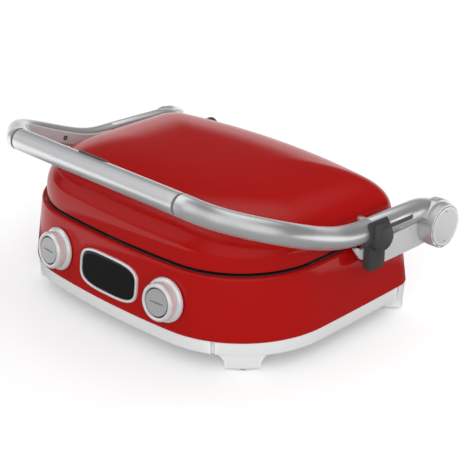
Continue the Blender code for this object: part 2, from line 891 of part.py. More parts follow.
# Knobs and their switches
def make_knob_set(side):
    place = wall_place("front", sides[side] * knob_offset, knob_height)
    made = {}
    profile = [
        (ring_bore, ring_lift),
        (ring_radius, ring_lift),
        (ring_radius, ring_step),
        (knob_radius + touch_gap, ring_height),
        (ring_bore, ring_height),
    ]
    made["ring"] = turned(f"escutcheon_{side}", profile, chrome, place, closed=True)
    bore = sleeve_radius + touch_gap
    foot = ring_height + touch_gap
    profile = [
        (bore, foot),
        (knob_foot_radius, foot),
        (knob_radius, foot + edge_break),
        (knob_radius, knob_reach - knob_bevel),
        (knob_radius - knob_bevel / 2, knob_reach - knob_bevel / 3),
        (knob_radius - knob_bevel, knob_reach),
        (bore, knob_reach - knob_bevel / 3),
    ]
    made["knob"] = turned(f"knob_{side}", profile, chrome, place, closed=True)
    profile = [
        (sleeve_stem, -stem_reach),
        (sleeve_stem, ring_lift),
        (sleeve_radius, ring_lift),
        (sleeve_radius, sleeve_reach),
        (sleeve_bore, sleeve_reach),
        (sleeve_bore, sleeve_floor),
    ]
    made["sleeve"] = turned(f"switch_sleeve_{side}", profile, black, place)
    face = sleeve_bore - touch_gap
    profile = [
        (face, button_foot),
        (face, button_reach - edge_break / 2),
        (face - edge_break / 2, button_reach),
        (face / 2, button_reach - button_dish),
    ]
    made["button"] = turned(f"push_button_{side}", profile, brushed, place)
    back = -stem_reach - touch_gap
    low = (-switch_half, -switch_half, back - switch_depth)
    made["body"] = box(f"switch_body_{side}", low, (switch_half, switch_half, back), black)
    made["body"].matrix_world = place
    return made


# Handle
def ring_spot():
    return np.array([grip_half, -grip_front, grip_height])


def arm_direction():
    return Vector((0, arm_end - arm_start, arm_end_height - arm_start_height)).normalized()


def side_path():
    """The tube's middle line from the grip's ring to the start of the straight arm."""
    ring = ring_spot()
    start = np.array([arm_offset, arm_start, arm_start_height])
    knots = [ring] + [ring + np.array(share) * (start - ring) for share in bend_shares]
    knots += [start, np.array([arm_offset, arm_end, arm_end_height])]
    path = smooth_curve(knots, (1, 0, 0), 34)
    joint = np.array([arm_offset, arm_joint, 0])
    path = path[path[:, 1] < arm_joint - edge_break]
    joint[2] = arm_height(arm_joint)
    path[0] += [gasket_length / 2 + touch_gap, 0, 0]
    path = np.delete(path, 1, axis=0)
    return np.vstack([path, joint - [0, touch_gap / 2, 0]])


def arm_height(back):
    share = (back - arm_start) / (arm_end - arm_start)
    return arm_start_height + share * (arm_end_height - arm_start_height)


def straight(start, end, count=2):
    return np.linspace(start, end, count)


def make_grip():
    end = grip_half - gasket_length / 2 - touch_gap
    path = straight((-end, -grip_front, grip_height), (end, -grip_front, grip_height))
    grip = sweep("grip_tube", path, tube_section(tube_radius, cover_flat), satin)
    cover = sweep("grip_cover", path, strip_section(), satin)
    for side, sign in sides.items():
        near = sign * (grip_half - gasket_length / 2)
        far = sign * (grip_half + gasket_length / 2)
        path = straight((min(near, far), -grip_front, grip_height), (max(near, far), -grip_front, grip_height))
        section = tube_section(tube_radius - gasket_shrink, cover_flat)
        sweep(f"grip_gasket_{side}", path, section, soft_grey)
    turn = insert_turn_share * math.pi
    lift = tube_radius + touch_gap
    rings = []
    for height in (lift - insert_height, lift + insert_height / 2):
        angles = np.linspace(0, math.tau, 20, endpoint=False)
        across = np.sign(np.cos(angles)) * (insert_half - insert_width) + insert_width * np.cos(angles)
        rings.append(np.column_stack([across, insert_width * np.sin(angles), np.full(20, height)]))
    insert = loft("grip_insert", rings, grey)
    spot = Matrix.Translation((-insert_offset, -grip_front, grip_height))
    insert.matrix_world = spot @ Matrix.Rotation(-turn, 4, "X")
    seat_rings = []
    for height in (lift - insert_height - touch_gap, lift + cut_overrun):
        angles = np.linspace(0, math.tau, 20, endpoint=False)
        radius = insert_width + touch_gap
        across = np.sign(np.cos(angles)) * (insert_half - insert_width) + radius * np.cos(angles)
        seat_rings.append(np.column_stack([across, radius * np.sin(angles), np.full(20, height)]))
    seat = loft("insert_seat", seat_rings, None)
    seat.matrix_world = insert.matrix_world.copy()
    cut(grip, seat)
    return grip, cover


def make_side(side):
    sign = sides[side]
    path = side_path()
    lead = (1, 0, 0)
    tube = sweep(f"side_tube_{side}", path, tube_section(tube_radius, cover_flat), satin, sign, lead)
    cover = sweep(f"side_cover_{side}", path, strip_section(), satin, sign, lead, 1)
    if side == "right":
        cut(tube, lever_room(sign))
    return tube, cover


def arm_path():
    """The straight arm, then the elbow that drops over the hub."""
    start = np.array([arm_offset, arm_joint + touch_gap / 2, arm_height(arm_joint)])
    elbow = np.array([arm_offset, arm_end - elbow_run, arm_height(arm_end - elbow_run)])
    path = [start, elbow]
    for share in np.linspace(0, 1, 6)[1:]:
        step = elbow + np.array([0, elbow_run * 2 * share, -elbow_drop * share**2])
        path.append(step)
    return np.array(path)


def hub_cylinder(name, side, radius, start, end, steps=round_steps * 2):
    place = side_place(sides[side], hub_back, hub_height, start)
    return turned(name, [(radius, no_length), (radius, end - start)], None, place, steps)


def saddle(side):
    """The roof that carries the arm over the hub: a ring segment round the hinge axis."""
    sign = sides[side]
    angles = np.radians(np.linspace(saddle_front_angle, saddle_rear_angle, 12))
    inner = base_hub_radius
    start = plate_inner + side_plate_thickness + touch_gap
    rings = []
    for angle in angles:
        ring = []
        for radius, x in ((inner, start), (saddle_outer, start), (saddle_outer, cup_floor), (inner, cup_floor)):
            ring.append((sign * x, hub_back + radius * math.cos(angle), hub_height + radius * math.sin(angle)))
        rings.append(ring)
    return loft(f"saddle_{side}", rings, None)


def make_hinge_arm(side):
    sign = sides[side]
    arm = sweep(f"hinge_arm_{side}", arm_path(), tube_section(tube_radius, cover_flat), satin, sign)
    start = base_hub_reach + touch_gap
    join(arm, saddle(side), hub_cylinder(f"cup_{side}", side, hub_radius, start, cup_reach))
    clear = base_hub_radius + touch_gap
    inner = arm_offset - tube_radius - cut_overrun
    cut(arm, hub_cylinder(f"hub_room_{side}", side, clear, inner, start))
    cut(arm, hub_cylinder(f"cup_room_{side}", side, cup_bore, cup_floor, cup_reach + cut_overrun))
    bore = pin_radius + touch_gap
    cut(arm, hub_cylinder(f"pin_room_{side}", side, bore, inner, cup_floor - edge_break, small_steps))
    place = side_place(sign, pivot_back, arm_height(pivot_back), pivot_inner)
    radius = pivot_radius + touch_gap
    profile = [(radius, no_length), (radius, pivot_hole_end - pivot_inner)]
    cut(arm, turned(f"pivot_room_{side}", profile, None, place, small_steps))
    if side == "right":
        cut(arm, slot_cutter(sign))
    return arm


def sloped_bar(name, inner, outer, start, end, below, above):
    """A bar along the arm, from one height over its middle line to another, at the arm's own slope."""
    rings = []
    for back in (start, end):
        low, high = arm_height(back) + below, arm_height(back) + above
        rings.append([(inner, back, low), (outer, back, low), (outer, back, high), (inner, back, high)])
    return loft(name, rings, None)


def slot_cutter(sign):
    inner = sign * (arm_offset + tube_radius - slot_depth)
    outer = sign * (arm_offset + tube_radius + cut_overrun)
    below, above = slot_lift - slot_width / 2, slot_lift + slot_width / 2
    return sloped_bar("slot_room", inner, outer, arm_joint - cut_overrun / 2, slot_end, below, above)


def lever_room(sign):
    cutter = slot_cutter(sign)
    cutter.name = "slot_room_front"
    return cutter


def make_lever():
    """Sleeve round the tube's outer side, a lobe on its face and a foot that hangs past the side plate."""
    direction = arm_direction()
    start = Vector((arm_offset, lever_front, arm_height(lever_front)))
    place = Matrix.Translation(start) @ direction.to_track_quat("Z", "Y").to_matrix().to_4x4()
    lever = turned("height_lever", [(lever_radius, no_length), (lever_radius, lever_length)], grey, place)
    middle = lever_front + lever_length / 2
    height = arm_height(middle) - lever_lobe_drop
    lobe_place = Matrix.Translation((lever_outer - lever_lobe_depth, middle, height))
    lobe_place = lobe_place @ Matrix.Rotation(math.pi / 2, 4, "Y")
    profile = [
        (lever_lobe_radius, no_length),
        (lever_lobe_radius, lever_lobe_depth - edge_break * 2),
        (lever_lobe_radius - edge_break * 2, lever_lobe_depth),
    ]
    lobe = turned("lever_lobe", profile, None, lobe_place)
    near, far = middle - lever_foot_half, middle + lever_foot_half
    tab = rounded([(near, lever_foot), (far, lever_foot), (far, height), (near, height)], lever_foot_round)
    foot_ends = (lever_inner, lever_inner + lever_foot_depth)
    foot = loft("lever_foot", [[(x, back, level) for back, level in tab] for x in foot_ends], None)
    join(lever, lobe, foot)
    room_start = Vector((arm_offset, lever_front - cut_overrun, arm_height(lever_front - cut_overrun)))
    room_place = Matrix.Translation(room_start) @ direction.to_track_quat("Z", "Y").to_matrix().to_4x4()
    bore = tube_radius + touch_gap
    length = lever_length + 2 * cut_overrun
    room = turned("tube_room", [(bore, no_length), (bore, length)], None, room_place, round_steps)
    room_end = lever_front + lever_length + cut_overrun
    mouth_low = (arm_offset - tube_radius * 2, lever_front - cut_overrun, arm_start_height - cut_overrun)
    mouth_high = (arm_offset - lever_mouth, room_end, arm_start_height + cut_overrun)
    top_inner, top_outer = arm_offset - tube_radius * 2, arm_offset + lever_top_gap
    top_start = lever_front - cut_overrun
    top = sloped_bar("lever_top_room", top_inner, top_outer, top_start, room_end, no_length, cut_overrun * 2)
    cut(lever, room, box("lever_mouth", mouth_low, mouth_high), top)
    key_start = lever_front + lever_length / 2
    key_end = key_start + lever_key_length
    key_inner = arm_offset + tube_radius - slot_depth + touch_gap
    key_outer = arm_offset + lever_radius - edge_break
    half = slot_width / 2 - touch_gap
    below, above = slot_lift - half, slot_lift + half
    join(lever, sloped_bar("lever_key", key_inner, key_outer, key_start, key_end, below, above))
    return lever


# Hinge parts on the base
def side_plate_plan():
    """Outline along Y and Z: the hub's round at the rear, a raised tip in front and a long underside."""
    turns = np.linspace(-math.pi / 2, math.pi / 2, 9)
    rear = [(hub_back + base_hub_radius * math.cos(t), hub_height + base_hub_radius * math.sin(t)) for t in turns]
    rear = [(back, height) for back, height in rear if height < side_plate_top]
    front = [
        (side_plate_step, side_plate_top),
        (side_plate_step - side_plate_round, side_plate_tip),
        (side_plate_front, side_plate_tip),
        (side_plate_nose, hub_height - side_plate_nose_drop),
        (side_plate_toe, hub_height - side_plate_toe_drop),
        (side_plate_heel, hub_height - side_plate_heel_drop),
    ]
    return rear + [(hub_back, side_plate_top)] + rounded(front, side_plate_round / 2)


def make_side_bracket(side):
    """Side plate, the base's half of the hub, and two bosses that seat on the housing's wall."""
    sign = sides[side]
    outer = plate_inner + side_plate_thickness
    rings = [[(sign * x, back, height) for back, height in side_plate_plan()] for x in (plate_inner, outer)]
    bracket = loft(f"side_bracket_{side}", rings, steel)
    middle = (plate_inner + outer) / 2
    join(bracket, hub_cylinder(f"base_hub_{side}", side, base_hub_radius, middle, base_hub_reach))
    for number, back in enumerate((front_boss, rear_boss)):
        near = wall_reach(back, boss_height - boss_radius) + touch_gap
        place = side_place(sign, back, boss_height, near)
        profile = [(boss_radius, no_length), (boss_radius, middle - near)]
        join(bracket, turned(f"boss_{side}_{number}", profile, None, place, small_steps))
    bore = pin_radius + touch_gap
    cut(bracket, hub_cylinder(f"bracket_bore_{side}", side, bore, plate_inner - cut_overrun, cup_reach, small_steps))
    return bracket


def wall_reach(back, height):
    """Half-width of the red wall at this place along the side."""
    radius = (body_rear_depth**2 + side_bow**2) / (2 * side_bow)
    sag = radius - math.sqrt(radius**2 - back**2)
    return body_half_width - sag - wall_inset(height)


def make_hinge_pin(side):
    place = side_place(sides[side], hub_back, hub_height, plate_inner - edge_break * 3)
    end = cup_floor - edge_break - touch_gap - plate_inner + edge_break * 3
    profile = [
        (pin_radius * 1.5, no_length),
        (pin_radius * 1.5, edge_break * 3 - touch_gap),
        (pin_radius, edge_break * 3 - touch_gap),
        (pin_radius, end),
    ]
    return turned(f"hinge_pin_{side}", profile, steel, place, small_steps)


def make_disc(name, side, material):
    """The round face in the hub's cup, on a short stem."""
    start = disc_reach - disc_thickness
    place = side_place(sides[side], hub_back, hub_height, start)
    radius = cup_bore - touch_gap
    profile = [
        (radius, no_length),
        (radius, disc_thickness - edge_break / 2),
        (radius - edge_break / 2, disc_thickness),
    ]
    return turned(name, profile, material, place, round_steps * 2)


# Lid
def lid_level(inset, share, rise):
    """One ring of the dome: the plan shrunk to a share, at the height the dome has there."""
    plan = outline(inset) * share
    height = rise * max(1 - share**lid_power, 0) ** (1 / lid_power)
    return np.column_stack([plan, np.full(len(plan), lid_bottom + height)])


def dome_shares(count):
    """Ring sizes at even steps up the shoulder and along the top."""
    turns = np.linspace(0, math.pi / 2, count)
    shares = np.cos(turns) ** (2 / lid_power)
    return [max(share, lid_pole_share) for share in shares]


def make_lid_shell():
    outer = [lid_level(lid_inset, share, lid_rise) for share in dome_shares(11)]
    inner = [lid_level(lid_inset + lid_wall, share, lid_rise - lid_wall) for share in dome_shares(8)]
    shell = loft("lid_shell", outer[::-1] + inner, red)
    for side, sign in sides.items():
        place = side_place(sign, pivot_back, arm_height(pivot_back), pivot_inner - cut_overrun / 4)
        radius = pivot_radius + touch_gap
        profile = [(radius, no_length), (radius, cut_overrun)]
        cut(shell, turned(f"lid_pivot_hole_{side}", profile, None, place, small_steps))
    return shell


def make_lid_liner():
    low = lid_bottom + liner_drop
    seat = upper_back + touch_gap
    profile = [
        (liner_inset, low),
        (liner_inner, low),
        (liner_inner, seat),
        (liner_lip, seat),
        (liner_lip, seat + liner_sheet),
        (liner_inset + liner_lean, seat + liner_sheet),
    ]
    return swept_ring("lid_liner", profile, black)


def make_lid_pivot(side):
    place = side_place(sides[side], pivot_back, arm_height(pivot_back), pivot_inner)
    profile = [(pivot_radius, no_length), (pivot_radius, pivot_outer - pivot_inner)]
    return turned(f"lid_pivot_{side}", profile, steel, place, small_steps)


def make_lead_boot():
    """Rounded rubber boot on the lid's rear left, where the heater's lead comes out."""
    radius = (body_half_width**2 + rear_bow**2) / (2 * rear_bow)
    sag = radius - math.sqrt(radius**2 - boot_offset**2)
    rear = body_rear_depth - lid_inset - sag
    angles = np.linspace(0, math.pi, 13)
    rings = []
    for reach in (-boot_root, boot_reach - edge_break * 2, boot_reach):
        shrink = edge_break * 2 if reach == boot_reach else no_length
        across = -boot_offset + (boot_half_width - shrink) * np.cos(angles)
        height = boot_bottom + (boot_height - shrink) * np.sin(angles)
        rings.append(np.column_stack([across, np.full(len(angles), rear + reach), height]))
    boot = loft("lead_boot", rings, grey)
    inset = lid_inset - touch_gap
    dome = [lid_level(inset, share, lid_rise + touch_gap) for share in dome_shares(11)]
    return cut(boot, loft("boot_seat", dome, None))


def make_power_gland():
    place = wall_place("rear", gland_offset, gland_height)
    profile = [
        (gland_bore, -wall - edge_break * 3),
        (gland_radius, -wall - edge_break * 3),
        (gland_radius, edge_break),
        (gland_collar, edge_break),
        (gland_collar, edge_break * 3),
        (gland_radius, gland_reach),
        (gland_bore, gland_reach),
    ]
    return turned("power_gland", profile, black, place, closed=True)


def make_pair(maker, *rest):
    return {side: maker(side, *rest) for side in sides}


make_lower_housing()
make_base_skirt()
for end in ends:
    for side in sides:
        make_foot_pad(end, side)
make_bottom_cover()
make_control_board()
make_drip_tray()
make_plate("lower_plate", inner_rim + touch_gap, plate_top, plate_bottom, rib_top)
make_heater("lower_heater", plate_bottom - touch_gap - heater_radius)
pan_height = shelf_top - shelf_thickness - touch_gap
make_pan("lower_reflector", pan_height, -1, lower_pan_flange, lower_pan_inset, lower_pan_depth)
make_display()
for side in sides:
    make_knob_set(side)
make_grip()
make_pair(make_side)
make_pair(make_hinge_arm)
make_lever()
make_pair(make_side_bracket)
make_pair(make_hinge_pin)
make_disc("hub_cap_left", "left", brushed)
make_disc("release_button", "right", brushed)
make_lid_shell()
make_lid_liner()
make_plate("upper_plate", liner_inner + touch_gap, upper_face, upper_back, upper_rib)
make_heater("upper_heater", upper_back + touch_gap + heater_radius)
pan_height = upper_back + 2 * touch_gap + liner_sheet
make_pan("upper_reflector", pan_height, 1, upper_pan_flange, upper_pan_inset, upper_pan_depth)
make_pair(make_lid_pivot)
make_lead_boot()
make_power_gland()
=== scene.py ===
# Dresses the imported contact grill: finer skins over the solids, their finishes, floor, light and camera.
from math import acos, asin, atan2, cos, pi, radians, sin, sqrt, tau

import bmesh
import bpy
import numpy as np
from mathutils import Matrix, Vector


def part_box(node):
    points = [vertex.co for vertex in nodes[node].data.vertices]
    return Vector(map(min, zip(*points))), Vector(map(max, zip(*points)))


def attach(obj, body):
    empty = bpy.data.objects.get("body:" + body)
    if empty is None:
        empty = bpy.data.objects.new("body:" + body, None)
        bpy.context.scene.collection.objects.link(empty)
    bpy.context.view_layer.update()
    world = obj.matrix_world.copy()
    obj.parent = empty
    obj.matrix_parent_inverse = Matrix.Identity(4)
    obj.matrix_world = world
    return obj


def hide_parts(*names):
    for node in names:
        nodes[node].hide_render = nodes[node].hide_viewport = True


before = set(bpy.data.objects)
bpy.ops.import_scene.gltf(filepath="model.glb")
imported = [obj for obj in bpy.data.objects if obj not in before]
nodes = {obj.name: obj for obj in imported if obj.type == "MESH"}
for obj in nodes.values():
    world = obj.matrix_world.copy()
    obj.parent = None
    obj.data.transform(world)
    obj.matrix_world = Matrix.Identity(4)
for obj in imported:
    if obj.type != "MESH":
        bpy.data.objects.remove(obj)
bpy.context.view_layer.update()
seat = 0.0003  # how far touching pieces stay apart, as in the solids
print("frame loaded:", len(nodes), "nodes")


# ---- shapes: every surface is a grid of points, worked out as whole arrays ----

def gridMesh(name, grid, material, around=True, along=False, caps=False, sharp=35):
    # grid[row, column] is a point; rows run along the piece, columns round it
    rows, columns = grid.shape[:2]
    index = np.arange(rows * columns).reshape(rows, columns)
    right = np.roll(index, -1, axis=1) if around else index[:, 1:]
    left = index if around else index[:, :-1]
    up = np.roll(np.arange(rows), -1) if along else np.arange(1, rows)
    low = slice(0, rows) if along else slice(0, rows - 1)
    quads = np.stack([left[low], right[low], right[up], left[up]], axis=-1).reshape(-1, 4)
    faces = quads.tolist()
    if caps:
        faces += [index[0][::-1].tolist(), index[-1].tolist()]
    mesh = bpy.data.meshes.new(name)
    mesh.from_pydata(grid.reshape(-1, 3).tolist(), [], faces)
    return finishMesh(name, mesh, material, sharp)


def finishMesh(name, mesh, material, sharp=35):
    # merges poles and seams, points every face outwards and keeps only real edges sharp
    work = bmesh.new()
    work.from_mesh(mesh)
    bmesh.ops.remove_doubles(work, verts=work.verts, dist=0.000002)
    bmesh.ops.dissolve_degenerate(work, edges=work.edges, dist=0.000001)
    bmesh.ops.recalc_face_normals(work, faces=work.faces)
    work.to_mesh(mesh)
    work.free()
    mesh.shade_smooth()
    mesh.set_sharp_from_angle(angle=radians(sharp))
    mesh.materials.append(material)
    piece = bpy.data.objects.new(name, mesh)
    bpy.context.scene.collection.objects.link(piece)
    return piece


def softProfile(corners, steps=5):
    # each corner (a, b, setback) becomes a small curve: (1-s)^2 A + 2s(1-s) P + s^2 B, A and B one setback away
    corners = np.asarray(corners, float)
    point = corners[:, :2]
    before = np.roll(point, 1, axis=0) - point
    after = np.roll(point, -1, axis=0) - point
    before /= np.maximum(np.linalg.norm(before, axis=1, keepdims=True), 1e-9)
    after /= np.maximum(np.linalg.norm(after, axis=1, keepdims=True), 1e-9)
    reach = corners[:, 2:3]
    s = np.linspace(0, 1, steps)[None, :, None]
    a = (point + before * reach)[:, None]
    b = (point + after * reach)[:, None]
    curve = (1 - s) ** 2 * a + 2 * s * (1 - s) * point[:, None] + s**2 * b
    return curve.reshape(-1, 2)


def moved(grid, place):
    # grid carried by a 4x4 matrix
    matrix = np.array(place)
    return grid @ matrix[:3, :3].T + matrix[:3, 3]


def turned(name, corners, place, material, steps=96, ring=False, sharp=35):
    # a profile of (radius, height, setback) turned round local Z: x = r cos t, y = r sin t
    profile = softProfile(corners)
    t = np.arange(steps) * tau / steps
    grid = np.empty((len(profile), steps, 3))
    grid[..., 0] = profile[:, :1] * np.cos(t)
    grid[..., 1] = profile[:, :1] * np.sin(t)
    grid[..., 2] = profile[:, 1:]
    return gridMesh(name, moved(grid, place), material, along=ring, sharp=sharp)


def sweepGrid(path, section, side=1, lead=None):
    # a section (inward, upward) carried along a path; inward = Z x T, upward = T x inward
    tangent = np.gradient(path, axis=0)
    if lead is not None:
        tangent[0] = lead
    tangent /= np.linalg.norm(tangent, axis=1, keepdims=True)
    inward = np.cross((0.0, 0.0, 1.0), tangent)
    inward /= np.linalg.norm(inward, axis=1, keepdims=True)
    upward = np.cross(tangent, inward)
    section = np.asarray(section, float)
    grid = path[:, None] + inward[:, None] * section[None, :, :1] + upward[:, None] * section[None, :, 1:]
    grid[..., 0] *= side
    return grid


def dressCopy(node, material, bevel=0.0004, sharp=32, name=None):
    # the node's own solid, merged, with softened edges
    mesh = nodes[node].data.copy()
    mesh.materials.clear()
    piece = finishMesh(name or node + "_skin", mesh, material, sharp)
    if bevel:
        soften = piece.modifiers.new("softEdges", "BEVEL")
        soften.width = bevel
        soften.segments = 2
        soften.limit_method = "ANGLE"
        soften.angle_limit = radians(sharp)
        soften.harden_normals = True
    return piece


def place(piece, body, *stands, slot=None):
    if stands:
        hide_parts(*stands)
    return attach(piece, body)


# ---- finishes ----

def newGroup(name, inputs, outputs):
    group = bpy.data.node_groups.new(name, "ShaderNodeTree")
    for title, kind, value in inputs:
        socket = group.interface.new_socket(title, in_out="INPUT", socket_type=kind)
        if value is not None:
            socket.default_value = value
    for title, kind in outputs:
        group.interface.new_socket(title, in_out="OUTPUT", socket_type=kind)
    return group, group.nodes.new("NodeGroupInput"), group.nodes.new("NodeGroupOutput")


def makeGrainGroup():
    # Tone: soft uneven patches with a fine speckle; Height: the speckle alone
    group, start, end = newGroup(
        "surfaceGrain",
        [("Vector", "NodeSocketVector", None), ("Patch Scale", "NodeSocketFloat", 14.0), ("Grain Scale", "NodeSocketFloat", 900.0)],
        [("Tone", "NodeSocketFloat"), ("Height", "NodeSocketFloat")],
    )
    link = group.links.new
    patch = group.nodes.new("ShaderNodeTexNoise")
    patch.inputs["Detail"].default_value = 3.0
    grain = group.nodes.new("ShaderNodeTexNoise")
    grain.inputs["Detail"].default_value = 2.0
    link(start.outputs["Vector"], patch.inputs["Vector"])
    link(start.outputs["Vector"], grain.inputs["Vector"])
    link(start.outputs["Patch Scale"], patch.inputs["Scale"])
    link(start.outputs["Grain Scale"], grain.inputs["Scale"])
    blend = group.nodes.new("ShaderNodeMix")
    blend.inputs["Factor"].default_value = 0.35
    link(patch.outputs["Fac"], blend.inputs["A"])
    link(grain.outputs["Fac"], blend.inputs["B"])
    link(blend.outputs["Result"], end.inputs["Tone"])
    link(grain.outputs["Fac"], end.inputs["Height"])
    return group


def makeBrushGroup():
    # Tone and Height: noise stretched hard along one axis, so it reads as brushing
    group, start, end = newGroup(
        "brushMarks",
        [("Vector", "NodeSocketVector", None), ("Stretch", "NodeSocketVector", (1.0, 1.0, 1.0))],
        [("Tone", "NodeSocketFloat"), ("Height", "NodeSocketFloat")],
    )
    link = group.links.new
    scale = group.nodes.new("ShaderNodeVectorMath")
    scale.operation = "MULTIPLY"
    link(start.outputs["Vector"], scale.inputs[0])
    link(start.outputs["Stretch"], scale.inputs[1])
    noise = group.nodes.new("ShaderNodeTexNoise")
    noise.inputs["Scale"].default_value = 1.0
    noise.inputs["Detail"].default_value = 4.0
    link(scale.outputs["Vector"], noise.inputs["Vector"])
    link(noise.outputs["Fac"], end.inputs["Tone"])
    link(noise.outputs["Fac"], end.inputs["Height"])
    return group


def makeWearGroup():
    # Mask: bright where an edge stands proud and use has polished it
    group, start, end = newGroup("edgeWear", [("Width", "NodeSocketFloat", 0.52)], [("Mask", "NodeSocketFloat")])
    link = group.links.new
    shape = group.nodes.new("ShaderNodeNewGeometry")
    span = group.nodes.new("ShaderNodeMapRange")
    span.inputs["From Max"].default_value = 0.6
    link(shape.outputs["Pointiness"], span.inputs["Value"])
    link(start.outputs["Width"], span.inputs["From Min"])
    link(span.outputs["Result"], end.inputs["Mask"])
    return group


grainGroup = makeGrainGroup()
brushGroup = makeBrushGroup()
wearGroup = makeWearGroup()


def finish(name, colour, roughness, metallic=0.0, coat=0.0, tint=0.06, spread=0.05, bump=0.02, patch=14.0, grain=900.0,
           brush=None, wear=0.0, coatRoughness=0.03, specular=0.5):
    # one Principled shader whose colour, roughness and bump follow a grain or brush group
    made = bpy.data.materials.new(name)
    made.use_nodes = True
    tree = made.node_tree
    link = tree.links.new
    shader = tree.nodes["Principled BSDF"]
    shader.inputs["Metallic"].default_value = metallic
    shader.inputs["Coat Weight"].default_value = coat
    shader.inputs["Coat Roughness"].default_value = coatRoughness
    shader.inputs["Specular IOR Level"].default_value = specular
    where = tree.nodes.new("ShaderNodeTexCoord")
    pattern = tree.nodes.new("ShaderNodeGroup")
    pattern.node_tree = brushGroup if brush else grainGroup
    link(where.outputs["Object"], pattern.inputs["Vector"])
    if brush:
        pattern.inputs["Stretch"].default_value = brush
    else:
        pattern.inputs["Patch Scale"].default_value = patch
        pattern.inputs["Grain Scale"].default_value = grain
    colours = tree.nodes.new("ShaderNodeMix")
    colours.data_type = "RGBA"
    colours.inputs["A"].default_value = (*[channel * (1 - tint) for channel in colour], 1.0)
    colours.inputs["B"].default_value = (*[min(channel * (1 + tint), 1.0) for channel in colour], 1.0)
    link(pattern.outputs["Tone"], colours.inputs["Factor"])
    outcome = colours.outputs["Result"]
    if wear:
        edge = tree.nodes.new("ShaderNodeGroup")
        edge.node_tree = wearGroup
        worn = tree.nodes.new("ShaderNodeMix")
        worn.data_type = "RGBA"
        worn.inputs["B"].default_value = (*[min(channel * (1 + wear) + wear * 0.05, 1.0) for channel in colour], 1.0)
        link(edge.outputs["Mask"], worn.inputs["Factor"])
        link(outcome, worn.inputs["A"])
        outcome = worn.outputs["Result"]
    link(outcome, shader.inputs["Base Color"])
    rough = tree.nodes.new("ShaderNodeMapRange")
    rough.inputs["From Min"].default_value = 0.25
    rough.inputs["From Max"].default_value = 0.75
    rough.inputs["To Min"].default_value = max(roughness - spread, 0.0)
    rough.inputs["To Max"].default_value = roughness + spread
    link(pattern.outputs["Tone"], rough.inputs["Value"])
    link(rough.outputs["Result"], shader.inputs["Roughness"])
    if bump:
        relief = tree.nodes.new("ShaderNodeBump")
        relief.inputs["Strength"].default_value = bump
        relief.inputs["Distance"].default_value = 0.0004
        link(pattern.outputs["Height"], relief.inputs["Height"])
        link(relief.outputs["Normal"], shader.inputs["Normal"])
    return made


redPaint = finish("red_paint_gloss", (0.40, 0.0040, 0.0030), 0.45, coat=0.50, tint=0.04, spread=0.03, bump=0.012, patch=9.0,
                  grain=260.0, specular=0.03)
skirtPlastic = finish("pale_grey_plastic_skin", (0.80, 0.803, 0.81), 0.38, tint=0.02, bump=0.05, grain=1600.0, wear=0.2)
blackPlastic = finish("black_plastic_skin", (0.022, 0.022, 0.022), 0.5, tint=0.15, bump=0.12, grain=1800.0, wear=0.6)
padRubber = finish("pad_rubber_skin", (0.42, 0.42, 0.425), 0.75, tint=0.2, bump=0.15, grain=1400.0)
coatedCast = finish("coated_cast_skin", (0.040, 0.040, 0.042), 0.42, metallic=0.3, tint=0.25, bump=0.35, grain=1500.0, wear=1.2)
brightSheet = finish("bright_sheet_skin", (0.63, 0.635, 0.64), 0.32, metallic=1.0, tint=0.05, bump=0.03, brush=(90.0, 90.0, 2600.0))
satinMetal = finish("satin_metal_skin", (0.80, 0.805, 0.815), 0.36, metallic=0.8, tint=0.03, spread=0.03, bump=0.03,
                    grain=2200.0, wear=0.15)
chrome = finish("chrome_skin", (0.86, 0.865, 0.875), 0.24, metallic=0.40, tint=0.02, spread=0.02, bump=0.0)
brushedMetal = finish("brushed_metal_skin", (0.60, 0.603, 0.61), 0.40, metallic=0.55, tint=0.10, bump=0.10,
                      brush=(600.0, 2600.0, 70.0))
hubMetal = finish("brushed_hub_skin", (0.60, 0.60, 0.606), 0.38, metallic=0.6, tint=0.16, bump=0.10,
                  brush=(2600.0, 60.0, 60.0))
plateSheet = finish("pale_plate_skin", (0.78, 0.782, 0.79), 0.42, metallic=0.3, tint=0.03, bump=0.04,
                    brush=(90.0, 90.0, 2600.0))
blackGlass = finish("black_glass_skin", (0.010, 0.010, 0.011), 0.06, tint=0.1, spread=0.015, bump=0.0, specular=0.2)
coverMetal = finish("inner_cover_skin", (0.60, 0.602, 0.608), 0.5, metallic=0.2, tint=0.03, bump=0.03, grain=2200.0)
boardGreen = finish("circuit_board_skin", (0.02, 0.12, 0.05), 0.55, tint=0.2, bump=0.1, grain=700.0)
darkGrey = finish("dark_grey_plastic_skin", (0.040, 0.040, 0.042), 0.5, tint=0.06, bump=0.12, grain=1700.0, wear=0.35)
gasketGrey = finish("grey_gasket_skin", (0.17, 0.17, 0.17), 0.6, tint=0.08, bump=0.06, grain=1500.0)
print("finishes made")


# ---- the body's plan ----

housingLow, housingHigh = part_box("lower_housing")
plan = {
    "halfWidth": housingHigh.x,
    "frontDepth": 0.1235,
    "rearDepth": housingHigh.y,
    "frontBow": 0.016,
    "rearBow": 0.0205,
    "sideBow": 0.002,
    "frontCorner": 0.097,
    "rearCorner": 0.022,
    "lidRearCorner": 0.034,
    "wallDepth": 0.0105,  # up to this inset the plan is the red wall's, further in it is the lid's
    "steps": (14, 26, 10),
}


def arc(centre, radius, start, end, count):
    t = np.linspace(start, end, count)
    return np.column_stack([centre[0] + radius * np.cos(t), centre[1] + radius * np.sin(t)])


